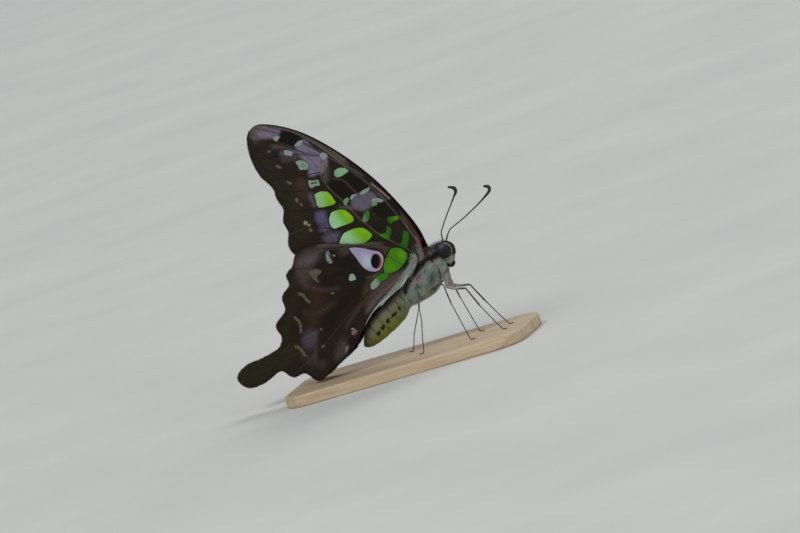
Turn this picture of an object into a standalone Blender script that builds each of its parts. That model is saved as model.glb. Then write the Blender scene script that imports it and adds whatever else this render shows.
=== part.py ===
"""Tailed jay (Graphium agamemnon), a swallowtail butterfly, as a still, life-size model.

It stands on a small flat base with its wings closed above its back.  +X is
ahead of the butterfly, +Y is its left, +Z is up, and the origin is the centre
of the underside of the base.  Lengths are named in millimetres and become
metres at MM.  Side-view shapes are (x, z) points in the plane between the two
sides of the animal, and y is given apart.
"""
import math

import bmesh
import bpy
import numpy as np
from mathutils import Vector

MM = 0.001

# Base
BASE_LENGTH = 54.0
BASE_WIDTH = 28.0
BASE_TOP = 2.6
BASE_CORNER = 6.0
BASE_EDGE = 0.4

# Touching pieces keep this gap
GAP = 0.12

# Body: each station is its lowest and highest point (x, z, x, z) and its half width
ABDOMEN = [
    (-9.1, 6.8, -9.35, 7.4, 0.3),
    (-8.3, 6.5, -8.7, 9.0, 1.3),
    (-6.9, 6.6, -7.7, 10.9, 2.0),
    (-4.9, 7.2, -6.2, 12.6, 2.5),
    (-2.4, 8.3, -4.1, 13.9, 2.7),
    (0.2, 9.6, -1.5, 15.3, 2.7),
    (2.1, 11.1, 0.7, 16.6, 2.5),
    (3.0, 12.3, 2.0, 17.2, 2.1),
]
THORAX = [
    (3.4, 12.6, 2.5, 17.5, 2.0),
    (4.5, 12.4, 3.3, 19.4, 2.7),
    (6.3, 12.7, 4.9, 21.3, 3.0),
    (8.4, 13.3, 7.2, 22.5, 3.1),
    (10.0, 14.2, 9.4, 23.3, 2.9),
    (11.3, 15.7, 11.1, 23.5, 2.3),
    (11.9, 17.6, 11.8, 23.2, 1.6),
    (12.0, 19.4, 12.0, 22.6, 0.9),
]
BODY_SIDES = 16

# The line along the middle of the body, which the wings rise from
AXIS_POINT = (1.6, 13.9)
AXIS_SLOPE = math.radians(32.0)

# Head
HEAD_CENTRE = (14.35, 0.0, 21.9)
HEAD_RADII = (2.1, 1.65, 2.0)
EYE_CENTRE = (14.5, 1.35, 22.0)
EYE_RADII = (1.5, 0.95, 1.48)
PALP = [(15.0, 0.5, 19.35), (15.55, 0.5, 19.5), (16.0, 0.48, 19.9), (16.3, 0.42, 20.55)]
PALP_RADII = (0.3, 0.42, 0.36, 0.25)
COIL_CENTRE = (14.45, 18.65)
COIL_OUTER = 0.78
COIL_INNER = 0.12
COIL_TURNS = 1.25
COIL_POINTS = 18
COIL_TUBE = 0.25

# Antennae: the right one stands steeper than the left one
ANTENNA_RIGHT = [
    (14.5, -0.6, 24.3), (14.7, -1.2, 25.7), (15.8, -2.2, 27.2), (17.7, -3.8, 29.3),
    (19.4, -5.1, 31.1), (21.0, -6.4, 32.8), (22.1, -7.4, 34.0), (22.1, -7.9, 34.8),
    (21.0, -8.1, 35.4),
]
ANTENNA_LEFT = [
    (14.7, 0.6, 24.3), (16.0, 1.4, 25.6), (17.5, 2.4, 26.3), (19.2, 3.6, 27.0),
    (20.8, 4.8, 27.8), (23.3, 6.8, 29.2), (25.1, 8.4, 30.6), (25.0, 8.8, 31.3),
    (24.0, 9.0, 31.7),
]
ANTENNA_RADII = (0.27, 0.25, 0.25, 0.25, 0.26, 0.29, 0.42, 0.44, 0.26)

# Legs (x, distance from the middle, z): hip, knee, ankle, then down to the foot
FORELEG = [(12.9, 0.9, 18.6), (12.7, 1.1, 16.6), (12.4, 1.4, 14.5), (14.2, 1.9, 13.6),
           (16.3, 2.2, 13.2), (18.2, 2.8, 9.0), (20.5, 3.1, 4.6), (21.4, 3.2, 3.3)]
MIDLEG = [(9.3, 1.9, 13.2), (10.3, 3.3, 13.9), (11.6, 3.7, 15.1), (12.6, 3.9, 15.2),
          (12.8, 4.2, 11.4), (13.6, 4.5, 7.5), (14.5, 4.7, 3.3)]
HINDLEG_RIGHT = [(6.2, 1.7, 12.3), (6.2, 3.2, 13.3), (6.8, 3.7, 15.3), (6.7, 3.9, 16.0),
                 (5.8, 4.0, 12.2), (5.5, 4.1, 9.3), (4.6, 4.3, 6.0), (4.0, 4.4, 3.3)]
HINDLEG_LEFT = [(6.2, 1.7, 12.3), (5.6, 3.2, 13.3), (5.4, 3.7, 15.2), (5.0, 3.9, 15.7),
                (3.8, 4.0, 11.6), (2.6, 4.1, 9.4), (0.8, 4.3, 6.2), (-0.3, 4.4, 3.3)]
FORELEG_RADII = (0.35, 0.62, 0.45, 0.42, 0.34, 0.28, 0.25, 0.27)
MIDLEG_RADII = (0.5, 0.42, 0.38, 0.34, 0.28, 0.25, 0.27)
HINDLEG_RADII = (0.5, 0.42, 0.38, 0.34, 0.3, 0.28, 0.25, 0.27)

# Wings
WING_THICKNESS = 0.5
FOREWING_Y = 0.45         # at the wing tips, from the middle plane
WING_STEP = 0.75          # the hind wings lie outside the fore wings
WING_FAN = 1.0            # the wings part towards the body, gently ...
WING_FAN_REACH = 20.0
WING_HUG = 1.75           # ... and then round the top of the thorax
WING_HUG_REACH = 5.0
WING_ROWS = (0.0, 0.08, 0.18, 0.34, 0.57, 0.93, 1.0)
WING_MERGED = (12, 4, 2, 1, 1, 1, 1)    # columns drawn together in each row
EDGE_STEPS = 2
SAME_POINT = 0.001

FOREWING_ROOT = ((9.8, 22.9), (8.0, 21.8))
FOREWING_EDGE = [
    # front edge, root to tip
    (10.2, 23.5), (9.8, 27.6), (7.9, 32.9), (4.1, 40.4), (-1.5, 48.1), (-8.0, 54.5),
    (-13.8, 57.9), (-17.3, 58.7),
    # tip, and the outer edge with its shallow waves
    (-19.2, 57.1), (-20.0, 53.0), (-19.3, 48.4), (-17.4, 44.9), (-17.3, 42.5),
    (-16.6, 39.9), (-17.5, 37.4), (-17.1, 35.3), (-18.0, 32.1), (-17.1, 30.0),
    # rear edge, back to the root
    (-7.7, 26.5), (3.6, 22.9), (7.4, 21.9),
]

HINDWING_ROOT = ((7.8, 22.6), (7.1, 20.9))
HINDWING_EDGE = [
    # front edge, root to the outer corner
    (7.8, 23.5), (5.9, 25.3), (1.7, 27.9), (-3.4, 28.6), (-12.0, 30.9), (-16.7, 30.3),
    # outer edge: a tooth at the end of each vein and a notch between
    (-18.4, 27.9), (-20.3, 26.4), (-20.3, 24.4), (-22.7, 22.1), (-22.8, 19.4), (-25.9, 16.7),
    (-25.4, 14.0),
    # tail
    (-26.9, 11.9), (-31.5, 10.6), (-36.1, 9.8), (-37.6, 8.1), (-36.0, 5.8), (-32.3, 5.8),
    (-27.9, 7.3),
    # lower corner
    (-25.6, 5.3), (-22.9, 5.5), (-20.0, 3.2), (-16.2, 4.9), (-12.1, 6.9),
    # inner edge, along the abdomen to the root
    (-8.0, 10.4), (-4.2, 13.9), (0.6, 16.2), (3.9, 17.7), (6.4, 20.0),
]
HINDWING_TAIL = (13, 19)  # the tail's first and last point in HINDWING_EDGE

COLOURS = {
    "wing": ((0.022, 0.017, 0.014), 0.6),
    "body": ((0.26, 0.27, 0.25), 0.9),
    "abdomen": ((0.2, 0.17, 0.08), 0.8),
    "eye": ((0.01, 0.012, 0.02), 0.15),
    "leg": ((0.12, 0.1, 0.08), 0.7),
    "dark": ((0.015, 0.012, 0.01), 0.5),
    "base": ((0.62, 0.52, 0.4), 0.55),
}


def clear_scene():
    """Take away whatever the file holds."""
    for obj in list(bpy.data.objects):
        bpy.data.objects.remove(obj, do_unlink=True)


def make_material(name):
    """A plain finish from COLOURS."""
    colour, roughness = COLOURS[name]
    material = bpy.data.materials.new(name)
    material.use_nodes = True
    shader = material.node_tree.nodes["Principled BSDF"]
    shader.inputs["Base Color"].default_value = (*colour, 1.0)
    shader.inputs["Roughness"].default_value = roughness
    shader.inputs["Metallic"].default_value = 0.0
    return material


def add_object(name, data, finish, collection):
    """One named part with its material."""
    obj = bpy.data.objects.new(name, data)
    data.materials.append(MATERIALS[finish])
    collection.objects.link(obj)
    return obj


def mesh_object(name, bm, finish, collection, smooth_below=40.0):
    """A part from a bmesh in millimetres, shaded smooth but for its sharp edges."""
    bmesh.ops.scale(bm, vec=(MM, MM, MM), verts=bm.verts)
    mesh = bpy.data.meshes.new(name)
    bm.to_mesh(mesh)
    bm.free()
    mesh.shade_smooth()
    mesh.set_sharp_from_angle(angle=math.radians(smooth_below))
    return add_object(name, mesh, finish, collection)


def smooth(points, steps):
    """A centripetal Catmull-Rom curve through the points, with steps samples to a span."""
    knots = np.asarray(points, dtype=float)
    first = 2 * knots[0] - knots[1]
    last = 2 * knots[-1] - knots[-2]
    padded = np.vstack((first, knots, last))
    curve = []
    for a, b, c, d in zip(padded, padded[1:], padded[2:], padded[3:]):
        ta = 0.0
        tb = ta + math.sqrt(np.linalg.norm(b - a))
        tc = tb + math.sqrt(np.linalg.norm(c - b))
        td = tc + math.sqrt(np.linalg.norm(d - c))
        for step in range(steps):
            t = tb + (tc - tb) * step / steps
            ab = (a * (tb - t) + b * (t - ta)) / (tb - ta)
            bc = (b * (tc - t) + c * (t - tb)) / (tc - tb)
            cd = (c * (td - t) + d * (t - tc)) / (td - tc)
            abc = (ab * (tc - t) + bc * (t - ta)) / (tc - ta)
            bcd = (bc * (td - t) + cd * (t - tb)) / (td - tb)
            curve.append((abc * (tc - t) + bcd * (t - tb)) / (tc - tb))
    curve.append(knots[-1])
    return curve


def loft_body(name, stations, finish, collection):
    """A body length: oval rings through the stations, with closed ends."""
    bm = bmesh.new()
    rings = []
    for low_x, low_z, high_x, high_z, half_width in smooth(stations, 2):
        centre = Vector(((low_x + high_x) / 2, 0.0, (low_z + high_z) / 2))
        up = Vector(((high_x - low_x) / 2, 0.0, (high_z - low_z) / 2))
        side = Vector((0.0, half_width, 0.0))
        ring = []
        for i in range(BODY_SIDES):
            angle = 2 * math.pi * i / BODY_SIDES
            ring.append(bm.verts.new(centre + up * math.cos(angle) + side * math.sin(angle)))
        rings.append(ring)
    for ring, following in zip(rings, rings[1:]):
        for i in range(BODY_SIDES):
            j = (i + 1) % BODY_SIDES
            bm.faces.new((ring[i], following[i], following[j], ring[j]))
    bm.faces.new(rings[0])
    bm.faces.new(reversed(rings[-1]))
    bmesh.ops.recalc_face_normals(bm, faces=bm.faces)
    return mesh_object(name, bm, finish, collection)


def ellipsoid(centre, radii, segments=14, rings=10, grow=0.0):
    """A bmesh ball of three radii, grown by a margin."""
    bm = bmesh.new()
    bmesh.ops.create_uvsphere(bm, u_segments=segments, v_segments=rings, radius=1.0)
    bmesh.ops.scale(bm, vec=[radius + grow for radius in radii], verts=bm.verts)
    bmesh.ops.translate(bm, vec=centre, verts=bm.verts)
    return bm


def tube(name, points, radii, finish, collection, steps=2):
    """A tapered round tube along a smooth route, with flat closed ends."""
    route = smooth([(*point, radius) for point, radius in zip(points, radii)], steps)
    curve = bpy.data.curves.new(name, "CURVE")
    curve.dimensions = "3D"
    curve.bevel_depth = MM
    curve.bevel_resolution = 2
    curve.use_fill_caps = True
    spline = curve.splines.new("POLY")
    spline.points.add(len(route) - 1)
    for point, (x, y, z, radius) in zip(spline.points, route):
        point.co = (x * MM, y * MM, z * MM, 1.0)
        point.radius = radius
    return add_object(name, curve, finish, collection)


def mirrored(points):
    """The same places on the right side of the animal."""
    return [(x, -y, z) for x, y, z in points]


def wing_offset(x, z, step):
    """How far a wing lies from the middle plane: least at its tip, most round the thorax."""
    above = (z - AXIS_POINT[1]) * math.cos(AXIS_SLOPE) - (x - AXIS_POINT[0]) * math.sin(AXIS_SLOPE)
    fan = WING_FAN * math.exp(-max(above, 0.0) / WING_FAN_REACH)
    hug = WING_HUG * math.exp(-(above / WING_HUG_REACH) ** 2)
    return FOREWING_Y + step + fan + hug


def wing(name, outline, root, step, side, collection, tail=None):
    """A thin bent wing: a grid spread as a fan from the root to the edge, then thickened.

    Near the root the columns crowd together, so there each few of them share a point.
    """
    edge = smooth(outline, EDGE_STEPS)
    shoulder = list(edge)
    if tail:
        first, last = (index * EDGE_STEPS for index in tail)
        for column in range(first, last + 1):
            share = (column - first) / (last - first)
            shoulder[column] = edge[first] * (1 - share) + edge[last] * share
    root_front, root_rear = (np.array(point) for point in root)
    columns = len(edge) - 1
    rows = len(WING_ROWS) - 1

    bm = bmesh.new()
    bmesh.ops.create_grid(bm, x_segments=columns, y_segments=rows, size=0.5)
    for vert in bm.verts:
        column = round((vert.co.x + 0.5) * columns)
        row = rows - round((vert.co.y + 0.5) * rows)
        if column < columns:
            column -= column % WING_MERGED[row]
        start = root_front + (root_rear - root_front) * column / columns
        if row == rows:
            x, z = edge[column]
        else:
            x, z = start + (shoulder[column] - start) * WING_ROWS[row]
        vert.co = (x, side * wing_offset(x, z, step), z)
    bmesh.ops.remove_doubles(bm, verts=bm.verts, dist=SAME_POINT)
    obj = mesh_object(name, bm, "wing", collection)
    solidify = obj.modifiers.new("thickness", "SOLIDIFY")
    solidify.thickness = WING_THICKNESS * MM
    solidify.offset = 0.0
    return obj


def make_wings(collection):
    """Fore wings inside, hind wings outside, each with its tail."""
    for label, side in (("left", 1), ("right", -1)):
        wing(f"forewing_{label}", FOREWING_EDGE, FOREWING_ROOT, 0.0, side, collection)
        wing(f"hindwing_{label}", HINDWING_EDGE, HINDWING_ROOT, WING_STEP, side, collection,
             tail=HINDWING_TAIL)


def make_head(collection, guides):
    """Head with two sockets, the eyes in them, palps and the coiled tongue."""
    head = mesh_object("head", ellipsoid(HEAD_CENTRE, HEAD_RADII), "body", collection)
    for label, side in (("left", 1), ("right", -1)):
        x, y, z = EYE_CENTRE
        centre = (x, side * y, z)
        mesh_object(f"eye_{label}", ellipsoid(centre, EYE_RADII), "eye", collection)

        socket = mesh_object(f"socket_{label}", ellipsoid(centre, EYE_RADII, grow=GAP), "eye", guides)
        socket.hide_render = True
        socket.display_type = "WIRE"
        cut = head.modifiers.new(f"socket_{label}", "BOOLEAN")
        cut.operation = "DIFFERENCE"
        cut.object = socket

        palp = PALP if side > 0 else mirrored(PALP)
        tube(f"palp_{label}", palp, PALP_RADII, "body", collection)

    coil = []
    for i in range(COIL_POINTS):
        share = i / (COIL_POINTS - 1)
        angle = math.radians(100.0) + 2 * math.pi * COIL_TURNS * share
        radius = COIL_OUTER + (COIL_INNER - COIL_OUTER) * share
        coil.append((COIL_CENTRE[0] - radius * math.cos(angle), 0.0,
                     COIL_CENTRE[1] + radius * math.sin(angle)))
    tube("proboscis", coil, [COIL_TUBE] * COIL_POINTS, "dark", collection, steps=1)


def make_antennae(collection):
    """Feelers with their clubs bent back."""
    tube("antenna_right", ANTENNA_RIGHT, ANTENNA_RADII, "dark", collection)
    tube("antenna_left", ANTENNA_LEFT, ANTENNA_RADII, "dark", collection)


def make_legs(collection):
    """Six legs, each from its hip to a small flat foot just above the base."""
    foot_z = BASE_TOP + GAP
    legs = (
        ("foreleg", FORELEG, FORELEG, FORELEG_RADII),
        ("midleg", MIDLEG, MIDLEG, MIDLEG_RADII),
        ("hindleg", HINDLEG_LEFT, HINDLEG_RIGHT, HINDLEG_RADII),
    )
    for kind, left, right, radii in legs:
        for label, joints in (("left", left), ("right", mirrored(right))):
            ankle_x, ankle_y, _ = joints[-1]
            route = joints + [(ankle_x, ankle_y, foot_z)]
            tube(f"{kind}_{label}", route, (*radii, radii[-1]), "leg", collection)


def make_base(collection):
    """A flat plate with round corners and a small bevel, centred on the origin."""
    bm = bmesh.new()
    bmesh.ops.create_cube(bm, size=1.0)
    bmesh.ops.scale(bm, vec=(BASE_LENGTH, BASE_WIDTH, BASE_TOP), verts=bm.verts)
    bmesh.ops.translate(bm, vec=(0.0, 0.0, BASE_TOP / 2), verts=bm.verts)
    uprights = [edge for edge in bm.edges if edge.verts[0].co.xy == edge.verts[1].co.xy]
    bmesh.ops.bevel(bm, geom=uprights, offset=BASE_CORNER, offset_type="OFFSET", segments=6,
                    profile=0.5, affect="EDGES")
    base = mesh_object("stand_base", bm, "base", collection)
    bevel = base.modifiers.new("edge", "BEVEL")
    bevel.width = BASE_EDGE * MM
    bevel.segments = 2
    bevel.limit_method = "ANGLE"
    bevel.angle_limit = math.radians(40.0)


def main():
    """Build every part."""
    clear_scene()
    model = bpy.data.collections.new("tailed_jay")
    guides = bpy.data.collections.new("guides")
    for collection in (model, guides):
        bpy.context.scene.collection.children.link(collection)
    for name in COLOURS:
        MATERIALS[name] = make_material(name)
    make_base(model)
    loft_body("abdomen", ABDOMEN, "abdomen", model)
    loft_body("thorax", THORAX, "body", model)
    make_head(model, guides)
    make_antennae(model)
    make_legs(model)
    make_wings(model)


MATERIALS = {}
main()
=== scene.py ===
"""The looks of a life-size tailed jay, a swallowtail butterfly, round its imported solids.

Lengths are in millimetres until a mesh is made. +X is forward, +Y is the butterfly's left.
"""

import math
from collections import namedtuple

import bpy
import numpy as np
from mathutils import Matrix, Vector
from mathutils.geometry import delaunay_2d_cdt


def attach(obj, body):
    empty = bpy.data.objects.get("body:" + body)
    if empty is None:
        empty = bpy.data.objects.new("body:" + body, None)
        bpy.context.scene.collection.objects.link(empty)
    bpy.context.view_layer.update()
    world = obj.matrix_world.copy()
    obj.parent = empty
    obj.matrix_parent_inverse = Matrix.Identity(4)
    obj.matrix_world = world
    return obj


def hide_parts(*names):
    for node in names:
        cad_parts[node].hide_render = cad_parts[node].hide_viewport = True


MM = 0.001

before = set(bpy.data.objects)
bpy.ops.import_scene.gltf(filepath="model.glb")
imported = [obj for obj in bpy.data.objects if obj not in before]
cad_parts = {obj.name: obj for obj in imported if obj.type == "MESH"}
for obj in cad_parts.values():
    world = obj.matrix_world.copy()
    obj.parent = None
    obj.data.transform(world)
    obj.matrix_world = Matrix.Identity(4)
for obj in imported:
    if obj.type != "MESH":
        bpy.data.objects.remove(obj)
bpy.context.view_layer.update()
rng = np.random.default_rng(7)

SIDES = (("left", 1), ("right", -1))
TURN = 2 * math.pi


def add_object(name, data):
    """A new object in the scene."""
    thing = bpy.data.objects.new(name, data)
    bpy.context.scene.collection.objects.link(thing)
    return thing


# ---------------------------------------------------------------- view, floor and light

VIEW_POINT = (4.0, 0.0, 22.6)
VIEW_AZIMUTH = math.radians(15)
VIEW_HEIGHT = math.radians(6)
VIEW_ROLL = math.radians(18)
VIEW_DROP = 1.37              # the picture's middle lies this far below the view point
LENS = 400.0
SENSOR = 36.0
PICTURE_WIDTH = 169.1         # at the butterfly
CLIP_END = 20.0               # metres

SKY = (0.86, 0.93, 1.0, 1.0)
SKY_STRENGTH = 0.3
# Each light: name, place in metres, size in metres, power, colour
LIGHTS = [
    ("key", (-0.9, -1.9, 2.4), 1.4, 32.0, (1.0, 0.97, 0.93)),
    ("fill", (2.3, -1.8, 1.1), 1.8, 14.0, (0.92, 0.96, 1.0)),
    ("rim", (0.5, 2.0, 2.0), 1.4, 20.0, (1.0, 0.98, 0.95))]
LIGHT_TARGET = (0.0, 0.0, 0.025)
FLOOR_SIZE = 12.0             # metres


def view_axes():
    """The picture's right and up directions, and the direction back to the camera."""
    sin_a, cos_a = math.sin(VIEW_AZIMUTH), math.cos(VIEW_AZIMUTH)
    sin_h, cos_h = math.sin(VIEW_HEIGHT), math.cos(VIEW_HEIGHT)
    level = Vector((cos_a, sin_a, 0.0))
    raised = Vector((-sin_a * sin_h, cos_a * sin_h, cos_h))
    back = Vector((sin_a * cos_h, -cos_a * cos_h, sin_h))
    right = level * math.cos(VIEW_ROLL) - raised * math.sin(VIEW_ROLL)
    up = level * math.sin(VIEW_ROLL) + raised * math.cos(VIEW_ROLL)
    return right, up, back


def add_camera():
    """A long lens at the angle from which the butterfly is shown."""
    right, up, back = view_axes()
    data = bpy.data.cameras.new("camera")
    data.lens = LENS
    data.sensor_width = SENSOR
    data.clip_end = CLIP_END
    camera = add_object("camera", data)
    distance = PICTURE_WIDTH * LENS / SENSOR
    place = Vector(VIEW_POINT) - up * VIEW_DROP + back * distance
    turn = Matrix((right, up, back)).transposed()
    camera.matrix_world = Matrix.Translation(place * MM) @ turn.to_4x4()
    bpy.context.scene.camera = camera


def add_light(name, place, size, power, colour):
    """A square soft light, aimed at the butterfly."""
    data = bpy.data.lights.new(name, "AREA")
    data.shape = "SQUARE"
    data.size = size
    data.energy = power
    data.color = colour
    light = add_object(name, data)
    light.location = place
    ahead = Vector(LIGHT_TARGET) - Vector(place)
    light.rotation_euler = ahead.to_track_quat("-Z", "Y").to_euler()


def add_studio():
    """A wide pale floor, three soft lights and a pale surround."""
    scene = bpy.context.scene
    scene.view_settings.view_transform = "Standard"
    world = bpy.data.worlds.new("surround")
    world.use_nodes = True
    background = world.node_tree.nodes["Background"]
    background.inputs["Color"].default_value = SKY
    background.inputs["Strength"].default_value = SKY_STRENGTH
    scene.world = world
    for light in LIGHTS:
        add_light(*light)

    mesh = bpy.data.meshes.new("floor")
    half = FLOOR_SIZE / 2
    corners = [(-half, -half, 0.0), (half, -half, 0.0), (half, half, 0.0), (-half, half, 0.0)]
    mesh.from_pydata(corners, [], [(0, 1, 2, 3)])
    mesh.materials.append(floor_material())
    floor = add_object("floor", mesh)


# ---------------------------------------------------------------- materials

def srgb(red, green, blue):
    """A colour given as on a screen, 0 to 255, in the linear values that shaders use."""
    shares = (value / 255 for value in (red, green, blue))
    linear = (s / 12.92 if s <= 0.04045 else ((s + 0.055) / 1.055) ** 2.4 for s in shares)
    return (*linear, 1.0)


class Finish:
    """One procedural material, and short ways to add its nodes."""

    def __init__(self, name, **shader_values):
        self.material = bpy.data.materials.new(name)
        self.material.use_nodes = True
        self.nodes = self.material.node_tree.nodes
        self.links = self.material.node_tree.links
        self.shader = self.nodes["Principled BSDF"]
        for socket, value in shader_values.items():
            self.feed(self.shader.inputs[socket.replace("_", " ")], value)

    def feed(self, socket, value):
        """Links a socket's value, or sets it."""
        if isinstance(value, bpy.types.NodeSocket):
            self.links.new(value, socket)
        else:
            socket.default_value = value

    def shade(self, socket, value):
        """Sets one of the shader's own inputs."""
        self.feed(self.shader.inputs[socket], value)

    def stretched(self, vector, factors):
        """A vector with each of its parts times a factor."""
        node = self.nodes.new("ShaderNodeMapping")
        self.feed(node.inputs["Vector"], vector)
        node.inputs["Scale"].default_value = factors
        return node.outputs["Vector"]

    def position(self, factors=(1.0, 1.0, 1.0)):
        """The place on the object, in millimetres, times the factors."""
        where = self.nodes.new("ShaderNodeTexCoord").outputs["Object"]
        return self.stretched(where, [factor / MM for factor in factors])

    def attribute(self, name, output="Color"):
        """A named attribute of the mesh."""
        node = self.nodes.new("ShaderNodeAttribute")
        node.attribute_name = name
        return node.outputs[output]

    def noise(self, vector, scale, detail=2.0, roughness=0.5):
        """Soft noise, about 0.5."""
        node = self.nodes.new("ShaderNodeTexNoise")
        self.feed(node.inputs["Vector"], vector)
        node.inputs["Scale"].default_value = scale
        node.inputs["Detail"].default_value = detail
        node.inputs["Roughness"].default_value = roughness
        return node.outputs["Fac"]

    def cells(self, vector, scale, output="Distance"):
        """Voronoi cells: their distance field, or a random colour for each."""
        node = self.nodes.new("ShaderNodeTexVoronoi")
        self.feed(node.inputs["Vector"], vector)
        node.inputs["Scale"].default_value = scale
        return node.outputs[output]

    def math(self, operation, first, second=0.0, third=0.0):
        """One step of arithmetic."""
        node = self.nodes.new("ShaderNodeMath")
        node.operation = operation
        for socket, value in zip(node.inputs, (first, second, third)):
            self.feed(socket, value)
        return node.outputs[0]

    def scaled(self, value, factor, offset):
        """A value times a factor, plus an offset."""
        return self.math("MULTIPLY_ADD", value, factor, offset)

    def step(self, value, low, high, start=0.0, end=1.0):
        """A smooth step from start, at low, to end, at high."""
        node = self.nodes.new("ShaderNodeMapRange")
        node.interpolation_type = "SMOOTHSTEP"
        for socket, number in zip(node.inputs, (value, low, high, start, end)):
            self.feed(socket, number)
        return node.outputs[0]

    def mix(self, share, first, second, blend="MIX"):
        """A mix of two colours."""
        node = self.nodes.new("ShaderNodeMix")
        node.data_type = "RGBA"
        node.blend_type = blend
        self.feed(node.inputs[0], share)
        self.feed(node.inputs[6], first)
        self.feed(node.inputs[7], second)
        return node.outputs[2]

    def ramp(self, value, *stops):
        """A colour ramp through (place, colour) stops."""
        node = self.nodes.new("ShaderNodeValToRGB")
        self.feed(node.inputs["Fac"], value)
        elements = node.color_ramp.elements
        while len(elements) < len(stops):
            elements.new(0.5)
        for element, (place, colour) in zip(elements, stops):
            element.position = place
            element.color = colour
        return node.outputs["Color"]

    def red_of(self, colour):
        """The first channel of a colour, as a number."""
        node = self.nodes.new("ShaderNodeSeparateColor")
        self.feed(node.inputs[0], colour)
        return node.outputs[0]

    def bump(self, height, distance, strength):
        """Relief from a height; distance in millimetres."""
        node = self.nodes.new("ShaderNodeBump")
        node.inputs["Strength"].default_value = strength
        node.inputs["Distance"].default_value = distance * MM
        self.feed(node.inputs["Height"], height)
        self.shade("Normal", node.outputs["Normal"])


FLOOR_PAINT = ((0.3, srgb(222, 223, 219)), (0.7, srgb(230, 230, 226)))


def floor_material():
    """Matt pale paint with a faint mottle."""
    finish = Finish("floor_paint", Roughness=0.85, Specular_IOR_Level=0.3)
    mottle = finish.noise(finish.position(), scale=0.02, detail=3.0)
    finish.shade("Base Color", finish.ramp(mottle, *FLOOR_PAINT))
    return finish.material


# ---------------------------------------------------------------- shapes on a plane

SOFT_FALL = 1.1               # how quickly a soft oval fades


def smooth(points, steps):
    """A centripetal Catmull-Rom curve through the points, with steps samples to a span."""
    knots = np.asarray(points, dtype=float)
    padded = np.vstack((2 * knots[0] - knots[1], knots, 2 * knots[-1] - knots[-2]))
    curve = []
    for a, b, c, d in zip(padded, padded[1:], padded[2:], padded[3:]):
        ta = 0.0
        tb = ta + math.sqrt(np.linalg.norm(b - a))
        tc = tb + math.sqrt(np.linalg.norm(c - b))
        td = tc + math.sqrt(np.linalg.norm(d - c))
        for step in range(steps):
            t = tb + (tc - tb) * step / steps
            ab = (a * (tb - t) + b * (t - ta)) / (tb - ta)
            bc = (b * (tc - t) + c * (t - tb)) / (tc - tb)
            cd = (c * (td - t) + d * (t - tc)) / (td - tc)
            abc = (ab * (tc - t) + bc * (t - ta)) / (tc - ta)
            bcd = (bc * (td - t) + cd * (t - tb)) / (td - tb)
            curve.append((abc * (tc - t) + bcd * (t - tb)) / (tc - tb))
    curve.append(knots[-1])
    return np.array(curve)


def reach_along(line):
    """How far along a line each of its points lies."""
    steps = np.linalg.norm(np.diff(line, axis=0), axis=1)
    return np.concatenate(([0.0], np.cumsum(steps)))


def read_rows(wanted, marks, rows):
    """Rows read off at the wanted places, where the given rows stand at the marks."""
    return np.column_stack([np.interp(wanted, marks, column) for column in np.transpose(rows)])


def spaced(points, gap):
    """Points at an even gap along a line."""
    points = np.asarray(points, dtype=float)
    along = reach_along(points)
    count = max(2, int(round(along[-1] / gap)) + 1)
    return read_rows(np.linspace(0.0, along[-1], count), along, points)


def upright(flat, y=0.0):
    """Points on the X-Z plane as points in space, at a given y."""
    return np.column_stack((flat[:, 0], np.broadcast_to(y, len(flat)), flat[:, 1]))


def unit(rows):
    """Rows scaled to length 1."""
    return rows / np.maximum(np.linalg.norm(rows, axis=1), 1e-9)[:, None]


def square_to(run):
    """Directions on a plane, turned by a right angle."""
    return np.column_stack((-run[:, 1], run[:, 0]))


def leaned(flat, lean):
    """Places on a plane, counted along and across a direction that leans from +X to +Z."""
    along = flat[:, 0] * math.cos(lean) + flat[:, 1] * math.sin(lean)
    across = flat[:, 1] * math.cos(lean) - flat[:, 0] * math.sin(lean)
    return np.column_stack((along, across))


def ringed(outline):
    """An outline with its first point again at the end."""
    return np.vstack((outline, outline[:1]))


def line_distance(places, line):
    """Distance from each place to a line of straight runs, and the share along it."""
    nearest = np.full(len(places), np.inf)
    share = np.zeros(len(places))
    runs = len(line) - 1
    for index, (start, end) in enumerate(zip(line, line[1:])):
        run = end - start
        t = np.clip(((places - start) @ run) / max(run @ run, 1e-12), 0.0, 1.0)
        gap = np.linalg.norm(places - start - t[:, None] * run, axis=1)
        closer = gap < nearest
        nearest[closer] = gap[closer]
        share[closer] = (index + t[closer]) / runs
    return nearest, share


def inside(places, outline):
    """Which places lie inside a closed outline."""
    x, z = places.T
    found = np.zeros(len(places), bool)
    for (ax, az), (bx, bz) in zip(outline, np.roll(outline, -1, axis=0)):
        crosses = (az > z) != (bz > z)
        if az != bz:
            found ^= crosses & (x < (bx - ax) * (z - az) / (bz - az) + ax)
    return found


def patch_distance(places, outline):
    """Signed distance to a closed shape, negative inside."""
    gap, _ = line_distance(places, ringed(outline))
    return np.where(inside(places, outline), -gap, gap)


def oval_distance(places, centre, radii, lean):
    """Signed distance, nearly, to an oval; lean in degrees turns it from +X towards +Z."""
    off = leaned(places - np.array(centre), math.radians(lean)) / radii
    return (np.hypot(*off.T) - 1.0) * min(radii)


def soft_oval(places, centre, radii, lean):
    """1 in the middle of an oval, fading to nothing a little outside it."""
    scaled = oval_distance(places, centre, radii, lean) / min(radii) + 1.0
    return np.exp(-SOFT_FALL * scaled ** 2)


def ease(value, low, high):
    """A smooth step from 0 at low to 1 at high."""
    t = np.clip((value - low) / (high - low), 0.0, 1.0)
    return t * t * (3 - 2 * t)


# ---------------------------------------------------------------- wings

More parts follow.
